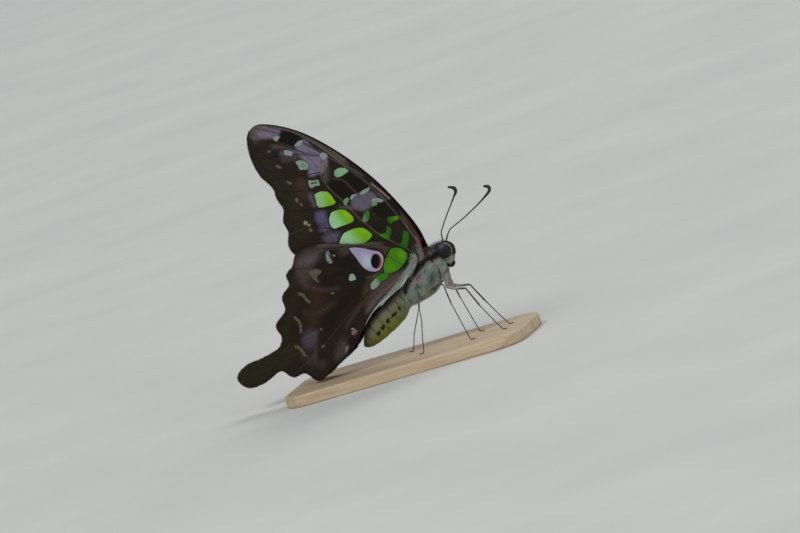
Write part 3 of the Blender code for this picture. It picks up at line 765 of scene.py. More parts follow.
# Soft washes over the ground: colour, shape, softness of its edge, strength
FOREWING_WASHES = [
    (OLIVE, stroke([(-17.5, 51.0), (-15.8, 45.0), (-14.5, 40.0), (-14.5, 34.0)], 3.6), 1.6, 0.7),
    (BROWN, oval((-11.4, 43.2), (1.4, 2.4)), 0.9, 0.45),
    (COSTA_BROWN, stroke([(-17.0, 58.8), (-13.6, 58.1), (-9.0, 55.9), (-6.0, 53.2), (-3.2, 49.8),
        (-1.2, 46.8)], 1.9), 0.5, 0.9),
    (COSTA_GREY, stroke([(-12.0, 56.7), (-8.6, 54.4), (-6.0, 51.8), (-3.5, 48.7), (-1.4, 45.6),
        (-0.5, 44.3)], 0.18), 0.18, 0.5),
    (COSTA_GREY, stroke([(-6.0, 53.0), (-3.4, 49.9), (-1.6, 47.3), (-0.3, 45.3)], 0.15), 0.15,
        0.6),
    (COSTA_PINK, stroke([(3.2, 39.9), (4.6, 37.9), (5.9, 35.8)], 0.18), 0.22, 0.75),
    (COSTA_GREY, stroke([(3.9, 37.6), (5.2, 35.5), (6.3, 33.4)], 0.14), 0.18, 0.5),
    (GREY_BROWN, stroke([(6.9, 32.6), (7.5, 30.4), (7.9, 28.5), (8.5, 26.4)], 0.3), 0.2, 0.8),
    (BROWN, stroke([(7.3, 32.4), (8.0, 30.4), (8.5, 28.7), (9.1, 26.8), (9.4, 25.2)], 0.3), 0.2,
        0.95),
    (ROSE, stroke([(8.8, 26.2), (9.1, 24.6), (9.1, 23.0)], 0.35), 0.35, 0.5),
    (TEAL, stroke([(8.4, 24.8), (8.2, 23.4), (7.5, 22.0)], 0.3), 0.35, 0.45),
    (MAUVE, stroke([(-17.0, 57.9), (-15.5, 57.8), (-13.7, 57.3)], 0.5), 0.35, 0.7),
    (MAUVE, blotch([(-18.9, 56.6), (-18.2, 58.4), (-15.3, 58.9), (-13.4, 58.2), (-12.4, 56.8),
        (-13.5, 55.8), (-16.0, 55.6), (-18.4, 55.2)]), 0.7, 0.85),
    (LILAC, blotch([(-17.6, 57.1), (-16.6, 57.7), (-14.2, 57.4), (-12.1, 56.6), (-12.3, 55.4),
        (-14.2, 55.1), (-15.6, 55.4), (-16.8, 56.0)]), 0.5, 0.85),
    (OLIVE, stroke([(-19.6, 56.0), (-18.6, 54.9), (-15.6, 54.2)], 1.0), 0.9, 0.6),
    (DARK_SEAM, stroke([(-18.6, 56.9), (-16.8, 57.1), (-14.2, 57.3), (-12.6, 56.9)], 0.12), 0.12,
        0.7),
    (LILAC, blotch([(-9.6, 52.9), (-7.7, 52.9), (-6.4, 50.4), (-4.7, 49.0), (-4.2, 47.1),
        (-5.9, 45.1), (-8.4, 44.9), (-9.4, 45.2), (-8.8, 46.9), (-8.5, 47.8), (-9.7, 49.3),
        (-10.2, 51.4)]), 0.45, 0.92),
    (MAUVE, stroke([(-14.6, 53.3), (-12.4, 52.7), (-10.0, 51.0)], 0.9), 0.7, 0.5),
    (LILAC, stroke([(-13.4, 51.2), (-11.4, 50.9), (-8.8, 50.2)], 0.9), 0.8, 0.6),
    (MAUVE, stroke([(-13.6, 49.9), (-11.6, 49.7), (-9.4, 49.5)], 0.6), 0.6, 0.45),
    (DARK_SEAM, stroke([(-14.6, 54.4), (-12.0, 52.6), (-8.4, 50.2), (-5.8, 49.3)], 0.12), 0.14,
        0.7),
    (BLACK, blotch([(-6.2, 41.1), (-5.7, 42.4), (-4.0, 42.9), (-2.2, 43.4), (-0.7, 43.8),
        (0.3, 42.4), (2.4, 40.5), (2.7, 39.5), (0.4, 38.8), (-1.7, 38.9), (-2.8, 38.3),
        (-4.0, 37.5), (-4.8, 38.5), (-5.4, 40.3)]), 0.3, 0.85),
    (BROWN, stroke([(-4.2, 43.2), (-2.2, 42.0), (-1.3, 40.4), (-0.5, 38.9)], 0.3), 0.2, 0.7),
    (LILAC, blotch([(-0.6, 38.6), (1.1, 38.6), (2.6, 38.4), (3.6, 37.0), (2.0, 35.5), (1.0, 34.9),
        (-0.3, 34.7), (-2.2, 36.0), (-2.4, 37.4)]), 0.5, 0.6),
    (BROWN, stroke([(-0.3, 38.6), (0.8, 36.9), (2.1, 35.4)], 0.12), 0.15, 0.5),
    (BLACK, stroke([(-1.6, 36.6), (-0.3, 37.4)], 0.1), 0.2, 0.4),
    (BLACK, blotch([(2.3, 35.2), (4.1, 35.4), (5.7, 35.7), (7.0, 33.9), (7.4, 32.7), (7.5, 31.3),
        (4.4, 32.0), (3.5, 31.8), (2.0, 33.2), (1.4, 34.3)]), 0.3, 0.85),
    (BLACK, blotch([(0.4, 32.4), (3.6, 31.6), (3.2, 29.6), (1.0, 29.2), (0.2, 30.8)]), 0.4, 0.5),
    (LILAC, stroke([(-10.2, 41.0), (-10.0, 39.0)], 1.0), 0.7, 0.4),
    (VIOLET, blotch([(-8.3, 37.3), (-8.4, 35.0), (-8.3, 34.6), (-10.4, 34.6), (-10.9, 36.0),
        (-10.4, 37.4)]), 0.65, 0.95),
    (VIOLET, blotch([(-8.2, 34.3), (-8.3, 33.2), (-9.6, 32.8), (-10.8, 33.4), (-10.4, 34.4)]),
        0.55, 0.85),
    (LILAC, blotch([(-6.6, 31.9), (-7.4, 30.4), (-7.9, 29.9), (-10.2, 30.2), (-10.6, 32.0),
        (-8.8, 32.4)]), 0.8, 0.42),
    (MAUVE, stroke([(-4.8, 37.0), (-3.0, 36.4), (-1.0, 35.6)], 0.8), 0.5, 0.6),
    (GREY_BROWN, stroke([(-5.4, 47.3), (-5.2, 45.6), (-6.0, 43.6)], 1.2), 0.6, 0.6),
    (COSTA_GREY, stroke([(-4.8, 47.3), (-5.3, 45.6), (-6.2, 43.9)], 0.16), 0.14, 0.6),
    (COSTA_GREY, stroke([(-5.6, 47.1), (-6.0, 45.6), (-6.8, 44.4)], 0.12), 0.12, 0.5),
    (COSTA_GREY, stroke([(-4.6, 46.2), (-6.6, 45.2)], 0.12), 0.12, 0.4),
    (BLACK, stroke([(-6.3, 46.6), (-7.6, 46.2), (-7.8, 45.2), (-6.6, 44.6)], 0.1), 0.1, 0.5),
    (BROWN, stroke([(-12.6, 35.0), (-17.4, 34.5)], 0.14), 0.14, 0.8),
    (BROWN, stroke([(-11.0, 39.0), (-16.6, 39.5)], 0.1), 0.12, 0.4),
    (BROWN, stroke([(-9.6, 31.6), (-13.6, 30.8)], 0.1), 0.12, 0.5)]
HINDWING_WASHES = [
    (GREY_BROWN, blotch([(-10.0, 30.3), (-15.1, 30.2), (-17.9, 28.8), (-18.9, 25.5), (-17.6, 22.3),
        (-15.8, 24.5), (-14.5, 26.8), (-12.0, 28.8)]), 1.0, 0.62),
    (LILAC, oval((-15.0, 28.2), (2.2, 0.9)), 0.9, 0.2),
    (GREY_BROWN, stroke([(1.2, 27.0), (-3.0, 28.2), (-8.0, 29.4), (-12.0, 30.4)], 0.7), 0.4, 0.8),
    (BROWN, stroke([(-16.6, 24.5), (-15.8, 19.5), (-18.6, 14.5)], 2.6), 2.0, 0.26),
    (OLIVE, stroke([(-19.5, 25.0), (-21.5, 20.0), (-24.5, 15.5), (-24.5, 11.5)], 2.0), 1.0, 0.6),
    (BLACK, blotch([(-9.0, 28.4), (-6.4, 27.4), (-5.6, 25.8), (-5.1, 24.0), (-4.5, 22.6),
        (-7.5, 23.4), (-9.0, 24.6), (-10.0, 25.8)]), 0.5, 0.55),
    (MAUVE, oval((-7.0, 27.6), (1.4, 0.8)), 0.6, 0.3),
    (BLACK, stroke([(-5.0, 19.3), (-8.0, 18.4), (-12.5, 16.4), (-15.5, 13.5)], 2.8), 1.2, 0.55),
    (BLACK, stroke([(-9.0, 23.4), (-12.5, 23.0)], 1.6), 0.9, 0.5),
    (BLACK, stroke([(6.6, 24.2), (6.5, 23.0), (5.6, 21.6), (4.6, 20.7)], 1.2), 0.3, 0.95),
    (BROWN, blotch([(2.6, 25.6), (1.4, 26.8), (-0.6, 27.0), (1.0, 25.4), (1.4, 24.2)]), 0.4, 0.6),
    (MAUVE, blotch([(4.2, 20.2), (2.2, 20.1), (-0.6, 19.0), (-3.4, 17.6), (-6.0, 15.6),
        (-7.0, 13.6), (-5.0, 14.2), (-2.0, 16.2), (1.6, 17.9)]), 0.6, 0.6),
    (GREY_DOT, stroke([(4.6, 20.2), (1.4, 18.6), (-2.6, 16.9), (-6.4, 14.2)], 0.2), 0.25, 0.45),
    (BLACK, stroke([(3.6, 19.9), (0.0, 18.8), (-4.0, 16.6), (-7.6, 13.6)], 0.25), 0.3, 0.5),
    (BROWN, stroke([(-3.6, 17.5), (-7.6, 15.4), (-11.8, 12.2)], 0.5), 0.5, 0.5),
    (BROWN, blotch([(-1.4, 21.2), (1.6, 20.6), (2.4, 19.6), (-0.4, 18.4), (-3.6, 17.6),
        (-6.2, 17.4), (-5.2, 19.6), (-3.6, 20.9)]), 0.8, 0.5),
    (MAUVE, stroke([(0.4, 22.0), (-2.4, 20.9), (-4.2, 21.0)], 0.3), 0.3, 0.5),
    (MAUVE, stroke([(1.0, 20.4), (-1.5, 19.0)], 0.5), 0.4, 0.4),
    (LILAC, blotch([(-22.0, 12.4), (-19.8, 13.9), (-18.0, 13.1), (-19.4, 10.9), (-20.8, 9.6),
        (-21.9, 10.9)]), 0.9, 0.28),
    (GREY_BROWN, stroke([(-18.6, 12.4), (-19.6, 9.6), (-20.6, 7.4)], 0.8), 0.7, 0.45),
    (GREY_BROWN, stroke([(-22.6, 10.0), (-21.6, 7.6), (-19.4, 6.0)], 1.6), 1.2, 0.3),
    (BLACK, stroke([(-13.6, 22.2), (-11.6, 21.6), (-10.0, 22.0)], 1.0), 0.8, 0.5),
    (MAUVE, stroke([(-16.8, 22.6), (-14.2, 21.2), (-10.8, 20.6)], 0.5), 0.7, 0.28),
    (BROWN, stroke([(-19.6, 17.6), (-16.0, 16.8), (-12.4, 18.0)], 0.9), 0.9, 0.3),
    (GREY_BROWN, oval((-14.2, 7.9), (1.2, 2.2), -40.0), 0.8, 0.5),
    (OLIVE, stroke([(-26.0, 9.6), (-31.0, 8.4), (-36.0, 7.8)], 4.2), 1.0, 0.8),
    (BLACK, oval((-9.4, 27.4), (0.7, 1.2), 10.0), 0.3, 0.95),
    (BLACK, stroke([(-8.0, 23.4), (-8.6, 21.8), (-8.4, 20.8)], 0.4), 0.3, 0.7),
    (BLACK, oval((-18.9, 7.8), (0.6, 0.6)), 0.4, 0.5)]
INNER_FOLD = [
    (6.9, 22.6), (6.0, 21.4), (4.5, 20.2), (3.6, 19.5), (2.3, 18.5), (1.0, 17.7), (0.0, 17.0),
    (-1.2, 16.2), (-3.4, 14.9), (-3.2, 14.4), (-0.8, 15.4), (1.9, 15.8), (3.2, 16.6), (4.6, 18.4),
    (6.0, 19.8), (7.4, 21.4)]
FOLD_RIM_HIGHLIGHT = [
    (4.4, 18.9), (3.0, 17.4), (1.6, 16.3), (-0.8, 15.7), (-3.2, 14.8), (-4.9, 13.7), (-5.9, 12.9),
    (-6.9, 11.9), (-7.8, 10.6)]


def fold_share(places):
    """1 on the pale fold along the hind wing's inner margin."""
    return 1.0 - ease(patch_distance(places, onto_wing(INNER_FOLD, WING_STEP)), -0.15, 0.2)


def plain(colour, count):
    """Rows of one colour."""
    return np.tile(colour, (count, 1))


def blend(colour, other, share):
    """Rows of colours moved towards another, by a share for each row."""
    return colour + (np.asarray(other) - colour) * share[:, None]


def wash_over(colour, places, washes, step):
    """Colours with soft washes laid over them."""
    for tint, shape, soft, strength in washes:
        share = 1.0 - ease(shape(places, step), -soft, soft)
        colour = blend(colour, tint, strength * share)
    return colour


def fleck_layer(places, flecks, step):
    """Colour of the strewn scales, with their density as its alpha."""
    colour = np.zeros((len(places), 4))
    for tint, shape, soft, most in flecks:
        density = most * (1.0 - ease(shape(places, step), -soft, soft))
        denser = density > colour[:, 3]
        colour[denser] = tint
        colour[denser, 3] = density[denser]
    return colour


def mark_layer(places, marks, step):
    """Signed distance to the nearest mark, and that mark's colour."""
    gap = np.full(len(places), FAR)
    colour = plain(BLACK, len(places))
    for shape, tint, *fade in marks:
        here = np.clip(shape(places, step), -FAR, FAR)
        own = plain(tint, len(places))
        if fade:
            other, start, end = fade
            start, end = onto_wing([start, end], step)
            run = end - start
            share = ((places - start) @ run) / (run @ run)
            own = blend(own, other, ease(share, 0.0, 1.0))
        closer = here < gap
        gap[closer] = here[closer]
        colour[closer] = own[closer]
    return gap, colour


# What is drawn on each kind of wing; lie is the way its scale rows run
Drawing = namedtuple("Drawing", "lie ground washes flecks marks tints spots pupils")
FOREWING = Drawing(math.radians(126), GROUND_FORE, FOREWING_WASHES, FOREWING_FLECKS,
                   FOREWING_MARKS, FOREWING_TINTS, FOREWING_SPOTS, [])
HINDWING = Drawing(math.radians(199), GROUND_HIND, HINDWING_WASHES, HINDWING_FLECKS,
                   HINDWING_MARKS, HINDWING_TINTS, HINDWING_SPOTS, HINDWING_PUPILS)


# ---------------------------------------------------------------- wing meshes

LIGHT_VEIN = srgb(116, 102, 94)
DARK_VEIN = srgb(28, 22, 19)
LAYERS = ("mark", "spot", "pupil")
RIM_REACH = 0.34              # dark scales round a mark
FOLD_RISE = 0.16              # how far the hind wing's inner fold stands out
SCALE_ROWS = (6.5, 11.0, 1.0)     # scales in a millimetre, along and across their rows
STREAKS = (0.35, 1.6, 1.0)
UPPER_SHIFT = (0.0, 0.0, 20.0)    # gives the upper side a pattern of its own


def vein_fields(wing):
    """For each point: distance to the nearest vein, ridge height, and colour with density."""
    count = len(wing.points)
    nearest = np.full(count, np.inf)
    ridge = np.zeros(count)
    colour = plain(DARK_VEIN, count)
    density = np.zeros(count)
    for line, high, tint in wing.veins:
        gap, along = line_distance(wing.points, spaced(line, OUTLINE_GAP * 3))
        nearest = np.minimum(nearest, gap)
        ridge = np.maximum(ridge, high * (1 - 0.6 * along) * np.exp(-(gap / VEIN_WIDTH) ** 2))
        here = abs(tint) * (1 - 0.3 * along) * np.exp(-(gap / (VEIN_WIDTH * 1.2)) ** 2)
        closer = here > density
        colour[closer] = LIGHT_VEIN if tint > 0 else DARK_VEIN
        density[closer] = here[closer]
    colour[:, 3] = density
    return nearest, ridge, colour


def under_colours(wing, drawing, margin_gap):
    """The attributes of a wing's underside, the side that a resting butterfly shows."""
    places, step = wing.points, wing.step
    ground = wash_over(plain(drawing.ground, len(places)), places, drawing.washes, step)
    if drawing is HINDWING:
        ground = blend(ground, SILVER, 0.92 * fold_share(places))
        # A painted highlight: a bright mint line along the lower rim of the hind wing's fold
        edge, _ = line_distance(places, onto_wing(FOLD_RIM_HIGHLIGHT, step))
        ground = blend(ground, MINT_HIGHLIGHT, 0.9 * (1 - ease(edge, 0.1, 0.3)))
    fields = {"flecks": fleck_layer(places, drawing.flecks, step)}
    for label, marks in zip(LAYERS, (drawing.marks, drawing.spots, drawing.pupils)):
        fields[label + "_gap"], fields[label] = mark_layer(places, marks, step)
    fields["mark"] = wash_over(fields["mark"], places, drawing.tints, step)
    ground = blend(ground, BLACK, 0.8 * (1 - ease(fields["mark_gap"], 0.05, RIM_REACH)))
    if drawing is FOREWING:
        ground = blend(ground, BLACK, 0.9 * (1 - ease(margin_gap, 0.06, 0.2)))
    fields["ground"] = ground
    return fields


def upper_colours(wing, drawing):
    """The attributes of a wing's upper side, which faces the other wings at rest."""
    count = len(wing.points)
    mark_gap, _ = mark_layer(wing.points, drawing.marks, wing.step)
    empty, far = plain(BLACK, count), np.full(count, FAR)
    return {"ground": plain(UPPER_GROUND, count), "flecks": np.zeros((count, 4)),
            "mark": plain(UPPER_GREEN, count), "mark_gap": mark_gap,
            "spot": empty, "spot_gap": far, "pupil": empty, "pupil_gap": far}


def rim_edges(faces):
    """The edges that only one triangle uses, in its turning sense."""
    edges = np.vstack((faces[:, (0, 1)], faces[:, (1, 2)], faces[:, (2, 0)]))
    tied = np.sort(edges, axis=1)
    _, first, counts = np.unique(tied, axis=0, return_index=True, return_counts=True)
    return edges[first[counts == 1]]


def wing_sheets(wing, side, middle, half):
    """Points and faces of a closed wing: its two sides, joined by a band at the rim."""
    points = np.vstack((upright(wing.points, side * (middle + half)),
                        upright(wing.points, side * (middle - half))))
    count = len(wing.points)
    edges = rim_edges(wing.faces)
    band = np.column_stack((edges[:, 1], edges[:, 0], edges[:, 0] + count, edges[:, 1] + count))
    faces = []
    for part in (wing.faces, wing.faces[:, ::-1] + count, band):
        faces.extend(tuple(face) for face in part.tolist())
    if side > 0:
        faces = [face[::-1] for face in faces]
    return points, faces


def wing_unwrap(places):
    """The underside on the left half of the unwrap, the upper side on the right half."""
    low, high = places.min(0), places.max(0)
    flat = (places - low) / (high - low).max() * (0.49, 0.98)
    return np.vstack((flat + (0.005, 0.01), flat + (0.505, 0.01)))


def add_wing(name, wing, drawing, side, material):
    """A thin wing, ridged along its veins, pleated between them and thinner at the rim."""
    places = wing.points
    margin_gap, _ = line_distance(places, ringed(wing.outline))
    vein_gap, ridge, vein = vein_fields(wing)
    thinned = ease(margin_gap, 0.0, 0.6)
    bulge = PLEAT * (1 - np.exp(-vein_gap / 0.8)) * thinned
    if drawing is HINDWING:
        bulge += FOLD_RISE * fold_share(places)
    middle = wing_offset(*places.T, wing.step) + bulge - PLEAT / 2
    half = MEMBRANE / 2 * (0.55 + 0.45 * thinned) + ridge * ease(margin_gap, 0.0, 0.3)
    points, faces = wing_sheets(wing, side, middle, half)

    under = under_colours(wing, drawing, margin_gap)
    upper = upper_colours(wing, drawing)
    attributes = []
    for label in under:
        kind = "FLOAT" if label.endswith("_gap") else "FLOAT_COLOR"
        attributes.append((label, kind, np.concatenate((under[label], upper[label]))))
    attributes.append(("vein", "FLOAT_COLOR", np.vstack((vein, vein))))
    lie = np.pad(leaned(places, drawing.lie), ((0, 0), (0, 1)))
    attributes.append(("lie", "FLOAT_VECTOR", np.vstack((lie, lie + UPPER_SHIFT))))
    piece = add_mesh(name, points, faces, material, attributes, wing_unwrap(places))
    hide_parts(name.replace("_scaled", ""))


def wing_material():
    """Scale upon scale: ground, strewn pale scales, veins and three layers of marks."""
    finish = Finish("wing_scales", Roughness=0.6, Specular_IOR_Level=0.15)
    lie = finish.attribute("lie", "Vector")
    scales = finish.stretched(lie, SCALE_ROWS)
    pick = finish.red_of(finish.cells(scales, scale=1.0, output="Color"))
    mottle = finish.noise(lie, scale=1.6, detail=4.0, roughness=0.65)
    grain = finish.noise(scales, scale=0.5)
    streak = finish.noise(finish.stretched(lie, STREAKS), scale=1.0, detail=4.0, roughness=0.6)
    clump = finish.noise(lie, scale=4.0)

    shade = finish.scaled(pick, 0.36, 0.55)
    shade = finish.math("ADD", shade, finish.scaled(mottle, 0.5, -0.25))
    shade = finish.math("ADD", shade, finish.scaled(streak, 1.0, -0.3))
    colour = finish.mix(finish.attribute("vein", "Alpha"), finish.attribute("ground"),
                        finish.attribute("vein"))
    colour = finish.mix(1.0, colour, shade, "MULTIPLY")

    strewn = finish.scaled(finish.attribute("flecks", "Alpha"), 1.15, -0.55)
    strewn = finish.math("ADD", strewn, finish.scaled(clump, 1.1, -0.55))
    strewn = finish.step(strewn, -0.07, 0.07)
    colour = finish.mix(strewn, colour, finish.attribute("flecks"))

    ragged = finish.scaled(grain, 0.2, -0.1)
    speckle = finish.scaled(pick, 0.16, 0.9)
    for label in LAYERS:
        gap = finish.math("ADD", finish.attribute(label + "_gap", "Fac"), ragged)
        gap = finish.scaled(pick, 0.08, gap)
        tint = finish.mix(1.0, finish.attribute(label), speckle, "MULTIPLY")
        colour = finish.mix(finish.step(gap, -0.02, 0.07, 1.0, 0.0), colour, tint)
    finish.shade("Base Color", colour)
    finish.bump(finish.cells(scales, scale=1.0), distance=0.02, strength=0.5)
    return finish.material


def add_wings():
    """Fore wings inside, hind wings outside."""
    material = wing_material()
    fore = Wing(FOREWING_EDGE, FOREWING_ROOT, 0.0, FOREWING_VEINS)
    hind = Wing(HINDWING_EDGE, HINDWING_ROOT, WING_STEP, HINDWING_VEINS)
    for label, side in SIDES:
        add_wing(f"forewing_{label}_scaled", fore, FOREWING, side, material)
        add_wing(f"hindwing_{label}_scaled", hind, HINDWING, side, material)
    return fore, hind


# ---------------------------------------------------------------- body shapes

# Body rings: low x, low z, high x, high z, half width
ABDOMEN = [
    (-9.1, 6.8, -9.35, 7.4, 0.3), (-8.3, 6.5, -8.7, 9.0, 1.3), (-6.9, 6.6, -7.7, 10.9, 2.0),
    (-4.9, 7.2, -6.2, 12.6, 2.5), (-2.4, 8.3, -4.1, 13.9, 2.7), (0.2, 9.6, -1.5, 15.3, 2.7),
    (2.1, 11.1, 0.7, 16.6, 2.5), (3.0, 12.3, 2.0, 17.2, 2.1), (4.2, 13.1, 3.1, 17.6, 1.9)]
THORAX = [
    (3.4, 12.6, 2.5, 17.5, 2.0), (4.5, 12.4, 3.3, 19.4, 2.7), (6.3, 12.7, 4.9, 21.3, 3.0),
    (8.4, 13.3, 7.2, 22.5, 3.1), (10.0, 14.2, 9.4, 23.3, 2.9), (11.3, 15.7, 11.1, 23.5, 2.3),
    (11.9, 17.6, 11.8, 23.2, 1.6), (13.2, 19.6, 13.2, 23.0, 1.2)]
HEAD_CENTRE = (14.35, 0.0, 21.9)
HEAD_RADII = (2.1, 1.65, 2.0)
EYE_CENTRE = (14.2, 1.35, 21.97)
EYE_RADII = (1.52, 1.0, 1.66)
PALP = [(13.9, 0.45, 19.7), (14.5, 0.5, 19.25), (15.0, 0.5, 19.55), (15.5, 0.45, 20.4),
        (15.95, 0.4, 21.2)]
PALP_RADII = (0.55, 0.42, 0.38, 0.34, 0.25)
BREAST = [(12.0, 0.7, 20.2), (12.7, 0.9, 19.2), (12.7, 1.0, 17.8), (12.5, 1.2, 16.2)]
BREAST_RADII = (1.3, 1.15, 0.85, 0.5)
FACE = ((14.4, 0.0, 20.2), (1.1, 1.0, 0.8))       # centre and radii of a ball
NECK = ((12.3, 0.0, 22.6), (1.3, 1.2, 0.9))
# The skin lies inside the solids by the depth of its coat
THORAX_COAT = 0.4
ABDOMEN_COAT = 0.12
HEAD_COAT = 0.26
PALP_COAT = 0.06
BREAST_COAT = 0.2
THINNEST = 0.15
SKIN_CELL = 0.13
SEGMENTS = 8
SEGMENT_RISE = 0.07
WAIST = (3.35, 12.6)
WAIST_LEAN = 0.19
LIMB_GAP = 0.08


def hull(rings, low_end, high_end):
    """Points and faces of a closed tube through rings of equal length, with pointed ends."""
    count = len(rings[0])
    points = np.vstack([low_end] + list(rings) + [high_end])
    faces = []
    for k in range(count):
        after = (k + 1) % count
        faces.append((0, 1 + after, 1 + k))
        for r in range(len(rings) - 1):
            a, b = 1 + r * count, 1 + (r + 1) * count
            faces.append((a + k, a + after, b + after, b + k))
        last = 1 + (len(rings) - 1) * count
        faces.append((last + k, last + after, len(points) - 1))
    return points, faces


def joined(*shapes):
    """Several (points, faces) shapes as one."""
    points, faces, start = [], [], 0
    for own_points, own_faces in shapes:
        points.append(np.asarray(own_points))
        faces.extend(tuple(index + start for index in face) for face in own_faces)
        start += len(own_points)
    return np.vstack(points), faces


def angles(count):
    """Even steps round a circle."""
    return np.linspace(0, TURN, count, endpoint=False)


def body_rings(sections, coat):
    """A length of the body, inside its sections by the coat's depth."""
    turn = angles(44)
    rings = []
    for low_x, low_z, high_x, high_z, half in smooth(sections, 6):
        centre = np.array(((low_x + high_x) / 2, 0.0, (low_z + high_z) / 2))
        rise = np.array(((high_x - low_x) / 2, 0.0, (high_z - low_z) / 2))
        size = np.linalg.norm(rise)
        rise *= max(size - coat, THINNEST) / size
        side = np.array((0.0, max(half - coat, THINNEST), 0.0))
        rings.append(centre + np.outer(np.cos(turn), rise) + np.outer(np.sin(turn), side))
    return hull(rings, rings[0].mean(0), rings[-1].mean(0))


def ball(centre, radii, rows=28, count=44):
    """An ellipsoid."""
    turn = angles(count)
    rings = []
    for tilt in np.linspace(-math.pi / 2, math.pi / 2, rows + 1)[1:-1]:
        ring = np.column_stack((math.cos(tilt) * np.cos(turn), math.cos(tilt) * np.sin(turn),
                                np.full(count, math.sin(tilt))))
        rings.append(ring * radii + centre)
    low, high = np.array(centre), np.array(centre)
    low[2] -= radii[2]
    high[2] += radii[2]
    return hull(rings, low, high)


def tube(line, radii, count):
    """A round tube along a line of points, with count points round it."""
    line = np.asarray(line, float)
    radii = np.asarray(radii, float)
    run = unit(np.gradient(line, axis=0))
    turn = angles(count)
    side = np.cross(run[0], (0.0, 1.0, 0.3))
    rings = []
    for point, ahead, radius in zip(line, run, radii):
        side = side - ahead * (side @ ahead)
        side /= np.linalg.norm(side)
        over = np.cross(ahead, side)
        rings.append(point + radius * (np.outer(np.cos(turn), side)
                                       + np.outer(np.sin(turn), over)))
    return hull(rings, line[0] - run[0] * radii[0] * 0.6, line[-1] + run[-1] * radii[-1] * 0.6)


def limb(points, radii):
    """A tube whose radius runs evenly between given places on a line."""
    fine = spaced(points, LIMB_GAP)
    along = reach_along(points)
    wanted = np.linspace(0.0, along[-1], len(fine))
    return tube(fine, np.interp(wanted, along, radii), 12)


def body_skin():
    """One closed skin over abdomen, thorax, head and palps: points, faces and normals."""
    shapes = [body_rings(ABDOMEN, ABDOMEN_COAT), body_rings(THORAX, THORAX_COAT),
              ball(HEAD_CENTRE, np.array(HEAD_RADII) - HEAD_COAT),
              ball(*FACE, 16, 24), ball(*NECK, 16, 24)]
    for line, radii, coat in ((PALP, PALP_RADII, PALP_COAT), (BREAST, BREAST_RADII, BREAST_COAT)):
        steps = np.linspace(0, len(line) - 1, 6 * len(line) - 5)
        around = np.interp(steps, range(len(line)), np.array(radii) - coat)
        for _, side in SIDES:
            shapes.append(tube(smooth(np.array(line) * (1, side, 1), 6), around, 18))
    points, faces = joined(*shapes)
    return abdomen_relief(*remeshed(points, faces))


def remeshed(points, faces):
    """Overlapping closed shapes as one even skin: points, quads and normals."""
    mesh = bpy.data.meshes.new("skin_draft")
    mesh.from_pydata(points, [], faces)
    draft = add_object("skin_draft", mesh)
    remesh = draft.modifiers.new("voxels", "REMESH")
    remesh.mode = "VOXEL"
    remesh.voxel_size = SKIN_CELL
    soften = draft.modifiers.new("soften", "SMOOTH")
    soften.factor = 0.6
    soften.iterations = 7
    shaped = draft.evaluated_get(bpy.context.evaluated_depsgraph_get())
    result = shaped.to_mesh()
    rows = []
    for field in ("co", "normal"):
        values = np.zeros(len(result.vertices) * 3, np.float32)
        result.vertices.foreach_get(field, values)
        rows.append(values.reshape(-1, 3).astype(float))
    quads = [tuple(polygon.vertices) for polygon in result.polygons]
    shaped.to_mesh_clear()
    bpy.data.objects.remove(draft)
    return rows[0], quads, rows[1]


# The abdomen's middle line, and half its height along it
ABDOMEN_LINE = smooth([((row[0] + row[2]) / 2, (row[1] + row[3]) / 2) for row in ABDOMEN], 8)
ABDOMEN_HALF = smooth([(math.hypot(row[2] - row[0], row[3] - row[1]) / 2, 0.0)
                       for row in ABDOMEN], 8)[:, 0]


def abdomen_share(points):
    """1 behind the waist, 0 before it."""
    border = WAIST[0] - (points[:, 2] - WAIST[1]) * WAIST_LEAN
    return 1.0 - ease(points[:, 0], border - 0.35, border + 0.35)


def abdomen_place(points):
    """Place along the abdomen, 0 at the tip and 1 at the waist, and height from -1 to 1."""
    flat = points[:, (0, 2)]
    _, along = line_distance(flat, ABDOMEN_LINE)
    spot = along * (len(ABDOMEN_LINE) - 1)
    steps = np.arange(len(ABDOMEN_LINE))
    off = flat - read_rows(spot, steps, ABDOMEN_LINE)
    run = unit(read_rows(spot, steps, np.gradient(ABDOMEN_LINE, axis=0)))
    height = off[:, 1] * run[:, 0] - off[:, 0] * run[:, 1]
    return along, height / np.interp(spot, steps, ABDOMEN_HALF)


def ring_place(along):
    """Place within each abdominal ring, 0 at its front and 1 at its hind edge."""
    return 1.0 - (along * SEGMENTS) % 1.0


def abdomen_relief(points, quads, normals):
    """The hind edge of each abdominal ring stands a little proud of the next."""
    along, _ = abdomen_place(points)
    saw = ring_place(along)
    rise = SEGMENT_RISE * ease(saw, 0.1, 0.85) * (1 - ease(saw, 0.9, 1.0))
    share = abdomen_share(points) * ease(along, 0.04, 0.12)
    return points + normals * (rise * share)[:, None], quads, normals


# ---------------------------------------------------------------- body colours

HAIR_GREY = srgb(188, 206, 186)
HAIR_BLUE = srgb(172, 194, 196)
HAIR_SLATE = srgb(96, 114, 116)
HAIR_DARK = srgb(48, 44, 36)
HAIR_BROWN = srgb(128, 118, 106)
HAIR_OLIVE = srgb(178, 188, 134)
PALE_HAIR = srgb(204, 208, 196)
BAND_GREY = srgb(100, 98, 90)
BAND_BLACK = srgb(34, 31, 26)
CREAM = srgb(196, 190, 156)
EYE_RING = srgb(190, 186, 162)
CHEEK = srgb(150, 170, 148)
FRONS = srgb(54, 56, 38)
COXA_HAIR = srgb(190, 186, 182)
ROSE_HAIR = srgb(216, 108, 124)
ABDOMEN_BASE = srgb(128, 134, 108)
BELLY = srgb(146, 156, 68)
FLANK = srgb(146, 146, 108)
BACK = srgb(104, 94, 84)
TIP = srgb(102, 97, 74)
BODY_SPOT = srgb(34, 29, 16)
PAINTED_SHADOW_TEAL = srgb(34, 50, 46)

